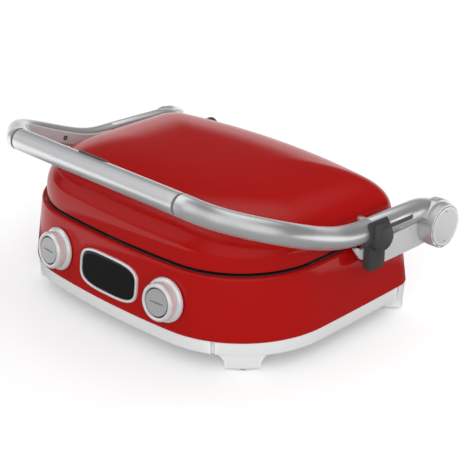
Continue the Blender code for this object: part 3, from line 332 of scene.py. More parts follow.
def arcCentres(depth, bow, corner):
    # the three touching arcs: the bowed face, the bowed side and the corner between them
    a, g = plan["halfWidth"], plan["sideBow"]
    faceRadius = (a * a + bow * bow) / (2 * bow)
    sideRadius = (depth * depth + g * g) / (2 * g)
    faceCentre = np.array([0.0, faceRadius - depth])
    sideCentre = np.array([a - sideRadius, 0.0])
    faceReach, sideReach = faceRadius - corner, sideRadius - corner
    between = sideCentre - faceCentre
    span = np.hypot(*between)
    along = between / span
    across = np.array([-along[1], along[0]])
    run = (faceReach**2 - sideReach**2 + span**2) / (2 * span)
    rise = sqrt(faceReach**2 - run**2)
    spots = [faceCentre + along * run + across * rise, faceCentre + along * run - across * rise]
    return faceCentre, faceRadius, sideCentre, sideRadius, max(spots, key=lambda spot: spot[0] - spot[1])


def quarter(depth, bow, corner, inset):
    faceCentre, faceRadius, sideCentre, sideRadius, centre = arcCentres(depth, bow, corner)
    faceTurn = atan2(*(centre - faceCentre)[::-1])
    sideTurn = atan2(*(centre - sideCentre)[::-1])
    face, bend, side = plan["steps"]
    parts = [
        arc(faceCentre, faceRadius - inset, -pi / 2, faceTurn, face),
        arc(centre, corner - inset, faceTurn, sideTurn, bend)[1:],
        arc(sideCentre, sideRadius - inset, sideTurn, 0, side)[1:],
    ]
    return np.vstack(parts)


def outline(inset):
    rearCorner = plan["rearCorner"] if inset <= plan["wallDepth"] else plan["lidRearCorner"]
    front = quarter(plan["frontDepth"], plan["frontBow"], plan["frontCorner"], inset)
    rear = quarter(plan["rearDepth"], plan["rearBow"], rearCorner, inset)[::-1] * [1, -1]
    right = np.vstack([front, rear[1:]])
    return np.vstack([right, right[1:-1][::-1] * [-1, 1]])


def planRings(profile):
    # one ring of the plan for each (inset, height) of a profile
    return np.stack([np.column_stack([outline(inset), np.full(len(outline(0)), height)]) for inset, height in profile])


# ---- lower body ----

bodySkin = {
    "lean": 0.0075,  # how far the wall leans in at the rim
    "wall": 0.0028,
    "rimRound": 0.0022,
    "rimDrop": 0.0015,
    "innerRim": 0.0165,
    "shelf": 0.010,
    "shelfThick": 0.003,
    "shelfInset": 0.026,
    "seamShadeInset": 0.0118,
    "seamShadeRise": 0.0004,
}
rimHeight = housingHigh.z
leanTop = rimHeight - bodySkin["rimDrop"]


def wallInset(height):
    return bodySkin["lean"] * (height - housingLow.z) / (leanTop - housingLow.z)


def cutHole(piece, cutter):
    step = piece.modifiers.new("cut", "BOOLEAN")
    step.operation = "DIFFERENCE"
    step.solver = "EXACT"
    step.object = cutter
    bpy.context.view_layer.update()
    mesh = bpy.data.meshes.new_from_object(piece.evaluated_get(bpy.context.evaluated_depsgraph_get()))
    piece.modifiers.clear()
    piece.data = mesh
    mesh.set_sharp_from_angle(angle=radians(30))
    bpy.data.objects.remove(cutter)
    return piece


def boxCutter(low, high):
    x, y, z = (np.array([low[i], high[i]]) for i in range(3))
    ring = np.array([(x[0], y[0]), (x[1], y[0]), (x[1], y[1]), (x[0], y[1])])
    grid = np.stack([np.column_stack([ring, np.full(4, level)]) for level in z])
    return gridMesh("cutter", grid, redPaint, caps=True)


def makeBody():
    s = bodySkin
    shelfTop = rimHeight - s["shelf"]
    under = shelfTop - s["shelfThick"]
    corners = [
        (0.0, housingLow.z, 0.0009),
        (s["lean"] + 0.0003, rimHeight, s["rimRound"]),
        (s["innerRim"], rimHeight, 0.0008),
        (s["innerRim"], shelfTop, 0.0003),
        (s["shelfInset"], shelfTop, 0.0004),
        (s["shelfInset"], under, 0.0004),
        (wallInset(under) + s["wall"], under, 0.0004),
        (s["wall"], housingLow.z, 0.0004),
    ]
    rings = planRings(softProfile(corners, 6))
    piece = gridMesh("bodySkin", rings, redPaint, along=True)
    trayLow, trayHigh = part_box("drip_tray")
    gap = 0.0006
    cutHole(piece, boxCutter((-0.2, trayLow.y - gap, trayLow.z - gap), (-0.14, trayHigh.y + gap, trayHigh.z + gap)))
    hole = bowedRings(displaySkin["halfWidth"] - 0.002, displaySkin["halfHeight"] - 0.002, (-0.02, 0.02))
    cutHole(piece, gridMesh("cutter", moved(hole, wallPlace("front", 0.0, displaySkin["height"])), redPaint, caps=True))
    return place(piece, "base", "lower_housing", slot="red_paint")


def wallPlace(end, offset, height):
    # a frame on the front or rear wall: Z out of the wall, Y up it
    sign = {"front": -1, "rear": 1}[end]
    depth, bow = plan[end + "Depth"], plan[end + "Bow"]
    radius = (plan["halfWidth"] ** 2 + bow**2) / (2 * bow)
    turn = asin(offset / radius)
    reach = radius - wallInset(height)
    spot = (reach * sin(turn), sign * (depth - radius + reach * cos(turn)), height)
    lean = atan2(bodySkin["lean"], leanTop - housingLow.z)
    outward = Vector((sin(turn) * cos(lean), sign * cos(turn) * cos(lean), sin(lean)))
    across = Vector((-sign * cos(turn), sin(turn), 0.0))
    upward = outward.cross(across)
    columns = Matrix((across, upward, outward)).transposed().to_4x4()
    return Matrix.Translation(spot) @ columns


displaySkin = {
    "height": 0.0535,
    "halfWidth": 0.038,
    "halfHeight": 0.0185,
    "power": 3.6,
    "bezel": 0.0023,
    "proud": 0.0022,
    "glassProud": 0.0013,
}


def barrel(halfWidth, halfHeight, count=144):
    # rounded rectangle with bulging sides: |x/a|^n + |y/b|^n = 1
    t = np.arange(count) * tau / count
    power = 2 / displaySkin["power"]
    x = halfWidth * np.sign(np.cos(t)) * np.abs(np.cos(t)) ** power
    y = halfHeight * np.sign(np.sin(t)) * np.abs(np.sin(t)) ** power
    return np.column_stack([x, y])


def bowedRings(halfWidth, halfHeight, heights, insets=None):
    # rings of the display's outline, each dropped by x^2 / 2R so that it follows the wall's bow
    radius = (plan["halfWidth"] ** 2 + plan["frontBow"] ** 2) / (2 * plan["frontBow"])
    insets = insets if insets is not None else np.zeros(len(heights))
    rings = []
    for height, inset in zip(heights, insets):
        ring = barrel(halfWidth - inset, halfHeight - inset)
        rings.append(np.column_stack([ring, height - ring[:, 0] ** 2 / (2 * radius)]))
    return np.stack(rings)


def makeDisplay():
    s = displaySkin
    where = wallPlace("front", 0.0, s["height"])
    profile = softProfile(
        [(0.0, -0.0006, 0.0), (0.0, s["proud"], 0.0010), (s["bezel"], s["proud"], 0.0009), (s["bezel"], -0.0006, 0.0)], 7
    )
    rim = bowedRings(s["halfWidth"], s["halfHeight"], profile[:, 1], profile[:, 0])
    bezel = gridMesh("displayBezel", moved(rim, where), chrome, along=True, sharp=60)
    place(bezel, "base", "display_bezel", slot="bright_chrome")
    edge = s["bezel"] + seat
    glassProfile = [(0.0, -0.0028), (0.0, s["glassProud"] - 0.0005), (0.0002, s["glassProud"] - 0.0001)]
    fill = np.linspace(0.0005, s["halfHeight"] - edge - 0.0004, 8)
    heights = [height for _, height in glassProfile] + [s["glassProud"]] * len(fill)
    insets = [edge + inset for inset, _ in glassProfile] + list(edge + fill)
    pane = bowedRings(s["halfWidth"], s["halfHeight"], heights, insets)
    glass = gridMesh("displayGlass", moved(pane, where), blackGlass, caps=True, sharp=50)
    place(glass, "base", "display_glass", slot="black_glass")


def makeSeamShade():
    # black strip on the ledge, under the lid's edge: painted shade standing for the shadow in the gap between lid and
    # body
    inner, outer, rise = bodySkin["innerRim"] - 0.0002, bodySkin["seamShadeInset"], bodySkin["seamShadeRise"]
    low, high = rimHeight - 0.0004, rimHeight + rise
    corners = [(outer, low, 0.0), (outer, high, 0.0001), (inner, high, 0.0001), (inner, low, 0.0)]
    strip = gridMesh("ledgeSeamShade", planRings(softProfile(corners, 4)), blackPlastic, along=True)
    place(strip, "base", slot="black_plastic")


makeBody()
makeSeamShade()
makeDisplay()
print("body and display made")


# ---- skirt and feet ----

skirtSkin = {
    "inset": 0.0006,
    "lean": 0.0009,
    "wall": 0.006,
    "bottom": 0.0145,
    "footStep": 0.0004,
    "footDepth": 0.013,
    "footHalves": {-1: (0.0245, 0.0152), 1: (0.0175, 0.0100)},  # at the top and bottom, front and rear
    "footLift": 0.0015,
    "notchWidth": 0.0040,
    "notchDepth": 0.0035,
}


def alongOutline(ring, start, distances):
    # points at given distances along a closed ring, counted from its point nearest start
    steps = np.roll(ring, -1, axis=0) - ring
    lengths = np.hypot(*steps.T)
    places = np.concatenate([[0.0], np.cumsum(lengths)])
    shares = np.clip(((start - ring) * steps).sum(axis=1) / lengths**2, 0, 1)
    nearest = np.argmin(np.hypot(*(ring + steps * shares[:, None] - start).T))
    target = (places[nearest] + shares[nearest] * lengths[nearest] + np.asarray(distances)) % places[-1]
    closed = np.vstack([ring, ring[:1]])
    return np.column_stack([np.interp(target, places, closed[:, 0]), np.interp(target, places, closed[:, 1])])


def cornerSpot(signX, signY, inset):
    # the middle of the corner's arc, on its diagonal
    depth, bow, corner = plan["frontDepth"], plan["frontBow"], plan["frontCorner"]
    if signY > 0:
        depth, bow, corner = plan["rearDepth"], plan["rearBow"], plan["rearCorner"]
    centre = arcCentres(depth, bow, corner)[-1]
    reach = (corner - inset) * sqrt(0.5)
    return np.array([signX * (centre[0] + reach), signY * (reach - centre[1])])


def makeFoot(signX, signY):
    # a block along the corner whose half length shrinks as rise^3 towards the table
    s = skirtSkin
    topHalf, bottomHalf = s["footHalves"][signY]
    rise = np.linspace(0, 1, 14)
    top = s["bottom"] + 0.0026
    heights = s["footLift"] + rise * (top - s["footLift"])
    halves = bottomHalf + (topHalf - bottomHalf) * rise**3
    outer, inner = s["inset"] + s["lean"] + s["footStep"], s["inset"] + s["footDepth"]
    rings = []
    for height, half in zip(heights, halves):
        soft = 0.0010 if height == heights[0] else 0.0
        places = np.linspace(-half + soft, half - soft, 26)
        front = alongOutline(outline(outer + soft), cornerSpot(signX, signY, outer), places)
        back = alongOutline(outline(inner - soft), cornerSpot(signX, signY, inner), places[::-1])
        ring = np.vstack([front, back])
        rings.append(np.column_stack([ring, np.full(len(ring), height)]))
    name = f"foot{'Front' if signY < 0 else 'Rear'}{'Left' if signX < 0 else 'Right'}"
    return gridMesh(name, np.stack(rings), skirtPlastic, caps=True, sharp=40)


def notchCutter(signX, signY, top):
    # a slot through the skirt's face beside the foot, square to the plan
    s = skirtSkin
    middle = -signX * (s["footHalves"][signY][0] + s["notchWidth"] / 2 - 0.0006)
    ends = middle + np.array([-0.5, 0.5]) * s["notchWidth"]
    first, last = alongOutline(outline(s["inset"]), cornerSpot(signX, signY, s["inset"]), ends)
    along = (last - first) / np.hypot(*(last - first))
    inward = np.array([-along[1], along[0]]) * s["notchDepth"]
    ring = np.array([first - inward, last - inward, last + inward, first + inward])
    levels = (s["bottom"] - 0.003, top + 0.003)
    return gridMesh("cutter", np.stack([np.column_stack([ring, np.full(4, level)]) for level in levels]), skirtPlastic, caps=True)


def makeSkirt():
    s = skirtSkin
    top = housingLow.z - seat
    corners = [
        (s["inset"] + s["lean"], s["bottom"], 0.0009),
        (s["inset"], top, 0.0008),
        (s["inset"] + s["wall"], top, 0.0005),
        (s["inset"] + s["wall"], s["bottom"], 0.0005),
    ]
    band = gridMesh("skirtBand", planRings(softProfile(corners, 6)), skirtPlastic, along=True)
    for signY in (-1, 1):
        for signX in (-1, 1):
            cutHole(band, notchCutter(signX, signY, top))
            place(makeFoot(signX, signY), "base", slot="pale_grey_plastic")
    return place(band, "base", "base_skirt", slot="pale_grey_plastic")


makeSkirt()
print("skirt and feet made")


# ---- lid ----

lidLow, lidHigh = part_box("lid_shell")
lidSkin = {
    "inset": plan["halfWidth"] - lidHigh.x,
    "rise": lidHigh.z - lidLow.z,
    "power": 3.0,
    "wall": 0.003,
    "levels": 44,
}


def domeRings(inset, rise, count):
    # the plan shrunk to a share k, at height rise (1 - k^n)^(1/n)
    turn = np.linspace(0, pi / 2, count)
    share = np.cos(turn) ** (2 / lidSkin["power"])
    height = rise * np.sin(turn) ** (2 / lidSkin["power"])
    ring = outline(inset)
    grid = np.empty((count, len(ring), 3))
    grid[..., :2] = ring[None] * share[:, None, None]
    grid[..., 2] = lidLow.z + height[:, None]
    return grid


def makeLid():
    s = lidSkin
    outer = domeRings(s["inset"], s["rise"], s["levels"])
    inner = domeRings(s["inset"] + s["wall"], s["rise"] - s["wall"], s["levels"] // 2)
    grid = np.concatenate([outer[::-1], inner])
    piece = gridMesh("lidSkin", grid, redPaint, sharp=60)
    return place(piece, "lid", "lid_shell", slot="red_paint")


makeLid()
print("lid made")


# ---- knobs ----

knobSkin = {
    "offset": 0.072,
    "height": 0.0545,
    "ringRadius": 0.0200,
    "ringBore": 0.0150,
    "ringHeight": 0.0046,
    "radius": 0.0171,
    "reach": 0.0136,
    "bevel": 0.0022,
    "sleeve": 0.0131,
    "sleeveBore": 0.0124,
    "button": 0.0121,
    "buttonReach": 0.0128,
}


def makeKnob(side, sign):
    s = knobSkin
    where = wallPlace("front", sign * s["offset"], s["height"])
    ring = [
        (s["ringBore"], 0.0007, 0.0),
        (s["ringRadius"], 0.0007, 0.0003),
        (s["ringRadius"], 0.0028, 0.0010),
        (s["radius"] + 0.0010, s["ringHeight"], 0.0009),
        (s["ringBore"], s["ringHeight"], 0.0002),
    ]
    place(turned("escutcheon" + side, ring, where, chrome, ring=True), "base", "escutcheon_" + side.lower(), slot="bright_chrome")
    foot = s["ringHeight"] + seat
    bore = s["sleeve"] + seat
    knob = [
        (bore, foot, 0.0),
        (s["radius"] - 0.0004, foot, 0.0003),
        (s["radius"], foot + 0.0012, 0.0003),
        (s["radius"], s["reach"] - s["bevel"], 0.0008),
        (s["radius"] - s["bevel"] * 0.55, s["reach"] - 0.0003, 0.0008),
        (s["radius"] - s["bevel"], s["reach"], 0.0004),
        (bore, s["reach"] - 0.0006, 0.0004),
    ]
    place(turned("knobSkin" + side, knob, where, chrome, ring=True), side.lower() + "_knob", "knob_" + side.lower(), slot="bright_chrome")
    sleeve = [
        (0.0, 0.0007, 0.0),
        (s["sleeve"], 0.0007, 0.0),
        (s["sleeve"], 0.0112, 0.0003),
        (s["sleeveBore"], 0.0112, 0.0002),
        (s["sleeveBore"], 0.0030, 0.0),
        (0.0, 0.0030, 0.0),
    ]
    place(turned("sleeveSkin" + side, sleeve, where, blackPlastic), "base", "switch_sleeve_" + side.lower(), slot="black_plastic")
    button = [
        (0.0, 0.0048, 0.0),
        (s["button"], 0.0048, 0.0003),
        (s["button"], s["buttonReach"], 0.0006),
        (s["button"] * 0.9, s["buttonReach"] - 0.0001, 0.0004),
        (0.0, s["buttonReach"] - 0.0005, 0.0),
    ]
    piece = turned("buttonSkin" + side, button, where, brushedMetal)
    groove = np.array([(-0.0072, -0.00022), (0.0072, -0.00022), (0.0072, 0.00022), (-0.0072, 0.00022)])
    grid = np.stack([np.column_stack([groove, np.full(4, level)]) for level in (s["buttonReach"] - 0.0006, s["buttonReach"] + 0.00004)])
    line = gridMesh("buttonLine" + side, moved(grid, where), blackPlastic, caps=True)
    place(piece, side.lower() + "_button", "push_button_" + side.lower(), slot="brushed_metal")
    place(line, side.lower() + "_button", slot="black_plastic")


for sideName, sideSign in (("Left", -1), ("Right", 1)):
    makeKnob(sideName, sideSign)
print("knobs made")


# ---- handle ----

handleSkin = {
    "radius": 0.010,
    "flat": 0.0075,
    "softness": 2600.0,
    "gripHalf": 0.1048,
    "gripFront": -0.1287,
    "gripHeight": 0.1558,
    "armOffset": 0.169,
    "armStart": 0.025,
    "armStartHeight": 0.1033,
    "armEnd": 0.104,
    "armEndHeight": 0.1006,
    "armJoint": 0.030,
    "bends": ((0.310, 0.099, 0.177), (0.972, 0.302, 0.368), (1.0, 0.734, 0.870)),
    "gasket": 0.0024,
    "gasketShrink": 0.0006,
    "cover": 0.0015,
    "coverHalf": 0.0062,
    "screwBack": -0.0325,
    "slotFloor": -0.0039,
    "slotHalf": 0.0024,
    "slotLift": 0.0010,
    "slotStart": 0.0305,
    "slotEnd": 0.0812,
}


def tubeSection(radius, flat=None, count=72):
    # a circle whose inner side is a soft minimum of r cos t and the flat: -ln(e^-ka + e^-kb) / k
    t = (np.arange(count) + 0.5) * tau / count
    inward = radius * np.cos(t)
    if flat is not None:
        k = handleSkin["softness"]
        inward = -np.log(np.exp(-k * inward) + exp0(-k * flat)) / k
    return np.column_stack([inward, radius * np.sin(t)])


def exp0(value):
    return np.exp(value)


def smoothCurve(knots, start, count):
    # natural cubic spline through the knots, time growing as the square root of each chord
    knots = np.asarray(knots, float)
    step = np.sqrt(np.linalg.norm(np.diff(knots, axis=0), axis=1))
    time = np.concatenate([[0.0], np.cumsum(step)])
    size = len(knots)
    rows = np.zeros((size, size))
    goal = np.zeros((size, 3))
    rows[0, :2] = 2 * step[0], step[0]
    goal[0] = 6 * ((knots[1] - knots[0]) / step[0] - np.asarray(start) * step[0])
    rows[-1, -1] = 1
    for row in range(1, size - 1):
        rows[row, row - 1 : row + 2] = step[row - 1], 2 * (step[row - 1] + step[row]), step[row]
        goal[row] = 6 * ((knots[row + 1] - knots[row]) / step[row] - (knots[row] - knots[row - 1]) / step[row - 1])
    bend = np.linalg.solve(rows, goal)
    at = np.linspace(0, time[-1], count)
    span = np.clip(np.searchsorted(time, at, side="right") - 1, 0, size - 2)
    h = step[span][:, None]
    before = (time[span + 1] - at)[:, None]
    after = (at - time[span])[:, None]
    curve = (bend[span] * before**3 + bend[span + 1] * after**3) / (6 * h)
    curve += (knots[span] / h - bend[span] * h / 6) * before
    curve += (knots[span + 1] / h - bend[span + 1] * h / 6) * after
    return curve


def armHeight(back):
    s = handleSkin
    share = (back - s["armStart"]) / (s["armEnd"] - s["armStart"])
    return s["armStartHeight"] + share * (s["armEndHeight"] - s["armStartHeight"])


def sidePath():
    s = handleSkin
    ring = np.array([s["gripHalf"], s["gripFront"], s["gripHeight"]])
    start = np.array([s["armOffset"], s["armStart"], s["armStartHeight"]])
    knots = [ring] + [ring + np.array(share) * (start - ring) for share in s["bends"]]
    knots += [start, np.array([s["armOffset"], s["armEnd"], s["armEndHeight"]])]
    path = smoothCurve(knots, (1.0, 0.0, 0.0), 190)
    gap = s["gasket"] / 2 + seat
    path = path[(path[:, 1] < s["armJoint"] - 0.0006) & (path[:, 0] > s["gripHalf"] + gap + 0.0022)]
    first = ring + [gap, 0.0, 0.0]
    last = np.array([s["armOffset"], s["armJoint"] - seat / 2, armHeight(s["armJoint"])])
    return np.vstack([first, path, last])


def straightPath(start, end, count=2):
    return np.linspace(start, end, count)


def stripSection():
    s = handleSkin
    near = s["flat"] + seat
    far = near + s["cover"]
    half = s["coverHalf"]
    corners = [(near, -half, 0.0), (far, -half + 0.0006, 0.0006), (far, half - 0.0006, 0.0006), (near, half, 0.0)]
    return softProfile(corners, 4)


def makeGrip():
    s = handleSkin
    end = s["gripHalf"] - s["gasket"] / 2 - seat
    y, z = s["gripFront"], s["gripHeight"]
    tube = gridMesh("gripSkin", sweepGrid(straightPath((-end, y, z), (end, y, z), 24), tubeSection(s["radius"], s["flat"])), satinMetal, caps=True)
    lowInsert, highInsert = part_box("grip_insert")
    cover = gridMesh("gripCoverSkin", sweepGrid(straightPath((-end, y, z), (end, y, z)), stripSection()), coverMetal, caps=True)
    place(cover, "handle", "grip_cover", slot="satin_metal")
    place(tube, "handle", "grip_tube", slot="satin_metal")
    for side, sign in (("left", -1), ("right", 1)):
        x = np.sort(sign * (s["gripHalf"] + np.array([-1, 1]) * s["gasket"] / 2))
        section = tubeSection(s["radius"] - s["gasketShrink"], s["flat"])
        gasket = gridMesh("gasket_" + side, sweepGrid(straightPath((x[0], y, z), (x[1], y, z)), section), gasketGrey, caps=True)
        place(gasket, "handle", "grip_gasket_" + side, slot="grey_gasket")
    insert = dressCopy("grip_insert", darkGrey, 0.0003)
    place(insert, "handle", "grip_insert", slot="dark_grey_plastic")


def makeSideTube(side, sign):
    s = handleSkin
    path = sidePath()
    lead = (1.0, 0.0, 0.0)
    grid = sweepGrid(path, tubeSection(s["radius"], s["flat"]), sign, lead)
    tube = gridMesh("sideTubeSkin_" + side, grid, satinMetal, caps=True)
    place(tube, "handle", "side_tube_" + side, slot="satin_metal")
    strip = sweepGrid(path, stripSection(), sign, lead)[8:-4]
    cover = gridMesh("sideCoverSkin_" + side, strip, coverMetal, caps=True)
    place(cover, "handle", "side_cover_" + side, slot="satin_metal")
    spot = path[np.argmin(np.abs(path[:, 1] - s["screwBack"]))]
    inward = np.cross((0.0, 0.0, 1.0), path[np.argmin(np.abs(path[:, 1] - s["screwBack"])) + 1] - spot)
    inward = Vector(inward * (sign, 1.0, 1.0)).normalized()
    face = Vector(spot * (sign, 1.0, 1.0)) + inward * (s["flat"] + seat + s["cover"])
    where = Matrix.Translation(face) @ inward.to_track_quat("Z", "Y").to_matrix().to_4x4()
    head = [(0.0, -0.0004, 0.0), (0.0023, -0.0004, 0.0), (0.0023, 0.0005, 0.0003), (0.0011, 0.0005, 0.0002), (0.0009, 0.0, 0.0001), (0.0, 0.0, 0.0)]
    place(turned("coverScrew_" + side, head, where, darkGrey, 32), "handle", slot="dark_grey_plastic")


def makeSlotShade():
    # the slot along the right arm: a thin black bar on its floor is painted shade standing for the shadow inside the
    # slot
    s = handleSkin
    x = s["armOffset"] + s["radius"] + np.array([s["slotFloor"], s["slotFloor"] + 0.0028])
    rings = []
    for back in (s["slotStart"], s["slotEnd"]):
        low, high = armHeight(back) + s["slotLift"] + s["slotHalf"] * np.array([-1, 1])
        rings.append([(x[0], back, low), (x[1], back, low), (x[1], back, high), (x[0], back, high)])
    shadeBar = gridMesh("slotShadeBar", np.array(rings), blackPlastic, caps=True)
    place(shadeBar, "handle", slot="black_plastic")


makeGrip()
makeSlotShade()
for sideName, sideSign in (("left", -1), ("right", 1)):
    makeSideTube(sideName, sideSign)
print("handle made")


# ---- hinge hub, arms, side plates and lever ----

hubSkin = {
    "back": 0.1182,
    "height": 0.0837,
    "radius": 0.0205,
    "baseRadius": 0.0200,
    "plate": 0.1675,
    "plateThick": 0.003,
    "baseReach": 0.1757,
    "cupReach": 0.1875,
    "cupFloor": 0.1800,
    "cupBore": 0.0188,
    "disc": 0.1880,
    "discThick": 0.0048,
    "markReach": 0.0145,
    "markSize": 0.0011,
    "rivets": ((0.0868, 0.0846), (0.0665, 0.0842)),
}


def hubPlace(sign, start):
    s = hubSkin
    return Matrix.Translation((sign * start, s["back"], s["height"])) @ Matrix.Rotation(sign * pi / 2, 4, "Y")


def makeHub(side, sign):
    s = hubSkin
    place(dressCopy("hinge_arm_" + side, satinMetal, 0.0005), "handle", "hinge_arm_" + side, slot="satin_metal")
    place(dressCopy("side_bracket_" + side, plateSheet, 0.0004), "base", "side_bracket_" + side, slot="bright_sheet")
    plateFace = s["plate"] + s["plateThick"]
    for label, body, radius, start, end in (
        ("cupSleeve", "handle", s["radius"], s["baseReach"] + 0.0005, s["cupReach"] - 0.0002),
        ("hubSleeve", "base", s["baseRadius"], plateFace + 0.0002, s["baseReach"] - 0.0002),
    ):
        sleeve = [
            (radius - 0.0005, 0.0, 0.0),
            (radius + 0.00012, 0.0, 0.0002),
            (radius + 0.00012, end - start, 0.0002),
            (radius - 0.0005, end - start, 0.0),
        ]
        piece = turned(label + "_" + side, sleeve, hubPlace(sign, start), hubMetal, ring=True)
        place(piece, body, slot="brushed_metal")
    for number, (back, height) in enumerate(s["rivets"]):
        where = Matrix.Translation((sign * plateFace, back, height)) @ Matrix.Rotation(sign * pi / 2, 4, "Y")
        head = [(0.0, -0.0004, 0.0), (0.0018, -0.0004, 0.0), (0.0018, 0.0006, 0.0004), (0.0, 0.0006, 0.0)]
        place(turned(f"plateRivet{number}_{side}", head, where, chrome, 32), "base", slot="bright_chrome")
    disc = [
        (0.0, 0.0, 0.0),
        (s["cupBore"] - seat, 0.0, 0.0),
        (s["cupBore"] - seat, s["discThick"], 0.0006),
        (s["cupBore"] - 0.0016, s["discThick"] - 0.0001, 0.0003),
        (0.0, s["discThick"] - 0.0001, 0.0),
    ]
    name, body, node = ("hubCap", "handle", "hub_cap_left") if side == "left" else ("releaseDisc", "release", "release_button")
    piece = turned(name, disc, hubPlace(sign, s["disc"] - s["discThick"]), brushedMetal)
    place(piece, body, node, slot="brushed_metal")
    rim = [
        (s["cupBore"] - 0.0019, s["discThick"] - 0.0006, 0.0),
        (s["cupBore"] - 0.0010, s["discThick"] - 0.0006, 0.0),
        (s["cupBore"] - 0.0010, s["discThick"] + 0.00005, 0.0002),
        (s["cupBore"] - 0.0019, s["discThick"] + 0.00005, 0.0002),
    ]
    place(turned(name + "Rim", rim, hubPlace(sign, s["disc"] - s["discThick"]), chrome, ring=True), body, slot="bright_chrome")
    for way in (-1, 1):
        t = np.array([0.25, 0.25 + 1 / 3, 0.25 + 2 / 3]) * tau
        mark = np.column_stack([s["markReach"] * way + s["markSize"] * way * np.sin(t), s["markSize"] * np.cos(t)])
        levels = (s["discThick"] - 0.0006, s["discThick"] + 0.00002)
        grid = np.stack([np.column_stack([mark, np.full(3, level)]) for level in levels])
        piece = gridMesh(f"{name}Mark{way + 1}", moved(grid, hubPlace(sign, s["disc"] - s["discThick"])), blackPlastic, caps=True)
        place(piece, body, slot="black_plastic")


for sideName, sideSign in (("left", -1), ("right", 1)):
    makeHub(sideName, sideSign)
place(dressCopy("height_lever", darkGrey, 0.0013), "lever", "height_lever", slot="dark_grey_plastic")
print("hub and lever made")


# ---- the rest of the solids, with softened edges ----

plainCopies = {
    "bottom_cover": (blackPlastic, "base", "black_plastic", 0.0003),
    "control_board": (boardGreen, "base", "circuit_board", 0.0),
    "display_board": (boardGreen, "base", "circuit_board", 0.0),
    "drip_tray": (blackPlastic, "tray", "black_plastic", 0.0004),
    "lower_plate": (coatedCast, "base", "coated_cast_aluminium", 0.0007),
    "upper_plate": (coatedCast, "lid", "coated_cast_aluminium", 0.0007),
    "lower_heater": (brightSheet, "base", "bright_sheet", 0.0),
    "upper_heater": (brightSheet, "lid", "bright_sheet", 0.0),
    "lower_reflector": (brightSheet, "base", "bright_sheet", 0.0),
    "upper_reflector": (brightSheet, "lid", "bright_sheet", 0.0),
    "lid_liner": (blackPlastic, "lid", "black_plastic", 0.0004),
    "lead_boot": (darkGrey, "lid", "dark_grey_plastic", 0.0008),
    "power_gland": (blackPlastic, "base", "black_plastic", 0.0005),
}
for node, (material, body, slotName, width) in plainCopies.items():
    place(dressCopy(node, material, width), body, node, slot=slotName)
for node, owner in nodes.items():
    if node.startswith("foot_pad"):
        place(dressCopy(node, padRubber, 0.0003), "base", node)
    if node.startswith("switch_body"):
        place(dressCopy(node, blackPlastic, 0.0005), "base", node, slot="black_plastic")
    if node.startswith("hinge_pin"):
        place(dressCopy(node, brightSheet, 0.0003), "base", node, slot="bright_sheet")
    if node.startswith("lid_pivot"):
        place(dressCopy(node, brightSheet, 0.0004), "lid", node, slot="bright_sheet")
print("remaining solids dressed")


# ---- floor, light and camera ----

studio = {
    "floorHalf": 6.0,
    "floorGlow": 0.30,
    "floorShade": 0.22,  # the floor's colour as gloss sees it
    "litFloor": (("Y", 0.20, 0.25), ("X", -0.23, -0.28)),
    "floorColour": 0.80,
    "worldSoft": 0.75,
    "skyStops": ((0.62, 0.0), (0.82, 1.0)),  # the ceiling: height of a direction and its white
    "dim": 0.06,
    "cameraShare": 0.62,
    "softbox": (-0.64, -0.62, 0.45),  # direction of a soft light that only gloss sees
    "softboxShare": 0.58,
    "key": {"spot": (1.25, -1.35, 0.95), "size": 1.5, "power": 13.0},
    "rim": {"spot": (0.3, 1.5, 1.3), "size": 1.6, "power": 9.0},
}
view = {
    "azimuth": 44.65,
    "elevation": 24.87,
    "distance": 1.226,
    "target": (0.0374, -0.0020, 0.0681),
    "focal": 1336.0,  # in pixels of a frame 465 wide
    "frame": 465.0,
    "sensor": 36.0,
}


def makeFloor():
    half = studio["floorHalf"]
    grid = np.array([[(-half, -half, 0.0), (half, -half, 0.0)], [(-half, half, 0.0), (half, half, 0.0)]])
    floorStuff = bpy.data.materials.new("floor_paper")
    floorStuff.use_nodes = True
    tree = floorStuff.node_tree
    shader = tree.nodes["Principled BSDF"]
    shader.inputs["Roughness"].default_value = 0.9
    shader.inputs["Specular IOR Level"].default_value = 0.0
    shader.inputs["Emission Color"].default_value = (1.0, 1.0, 1.0, 1.0)
    path = tree.nodes.new("ShaderNodeLightPath")
    glow = tree.nodes.new("ShaderNodeMath")
    glow.operation = "MULTIPLY"
    glow.inputs[1].default_value = studio["floorGlow"]
    tree.links.new(path.outputs["Is Camera Ray"], glow.inputs[0])
    # behind the object and left of it, gloss sees the floor lit up like the backdrop
    where = tree.nodes.new("ShaderNodeTexCoord")
    split = tree.nodes.new("ShaderNodeSeparateXYZ")
    tree.links.new(where.outputs["Object"], split.inputs["Vector"])
    lit = tree.nodes.new("ShaderNodeMath")
    lit.operation = "MAXIMUM"
    for number, (axis, near, far) in enumerate(studio["litFloor"]):
        ramp = tree.nodes.new("ShaderNodeMapRange")
        ramp.interpolation_type = "SMOOTHSTEP"
        ramp.inputs["From Min"].default_value = near
        ramp.inputs["From Max"].default_value = far
        tree.links.new(split.outputs[axis], ramp.inputs["Value"])
        tree.links.new(ramp.outputs["Result"], lit.inputs[number])
    total = tree.nodes.new("ShaderNodeMath")
    total.operation = "MULTIPLY_ADD"
    tree.links.new(lit.outputs["Value"], total.inputs[0])
    tree.links.new(path.outputs["Is Glossy Ray"], total.inputs[1])
    tree.links.new(glow.outputs["Value"], total.inputs[2])
    tree.links.new(total.outputs["Value"], shader.inputs["Emission Strength"])
    colours = tree.nodes.new("ShaderNodeMix")
    colours.data_type = "RGBA"
    colours.inputs["A"].default_value = (studio["floorColour"],) * 3 + (1.0,)
    colours.inputs["B"].default_value = (studio["floorShade"],) * 3 + (1.0,)
    tree.links.new(path.outputs["Is Glossy Ray"], colours.inputs["Factor"])
    tree.links.new(colours.outputs["Result"], shader.inputs["Base Color"])
    floor = gridMesh("floor", grid, floorStuff, around=False)


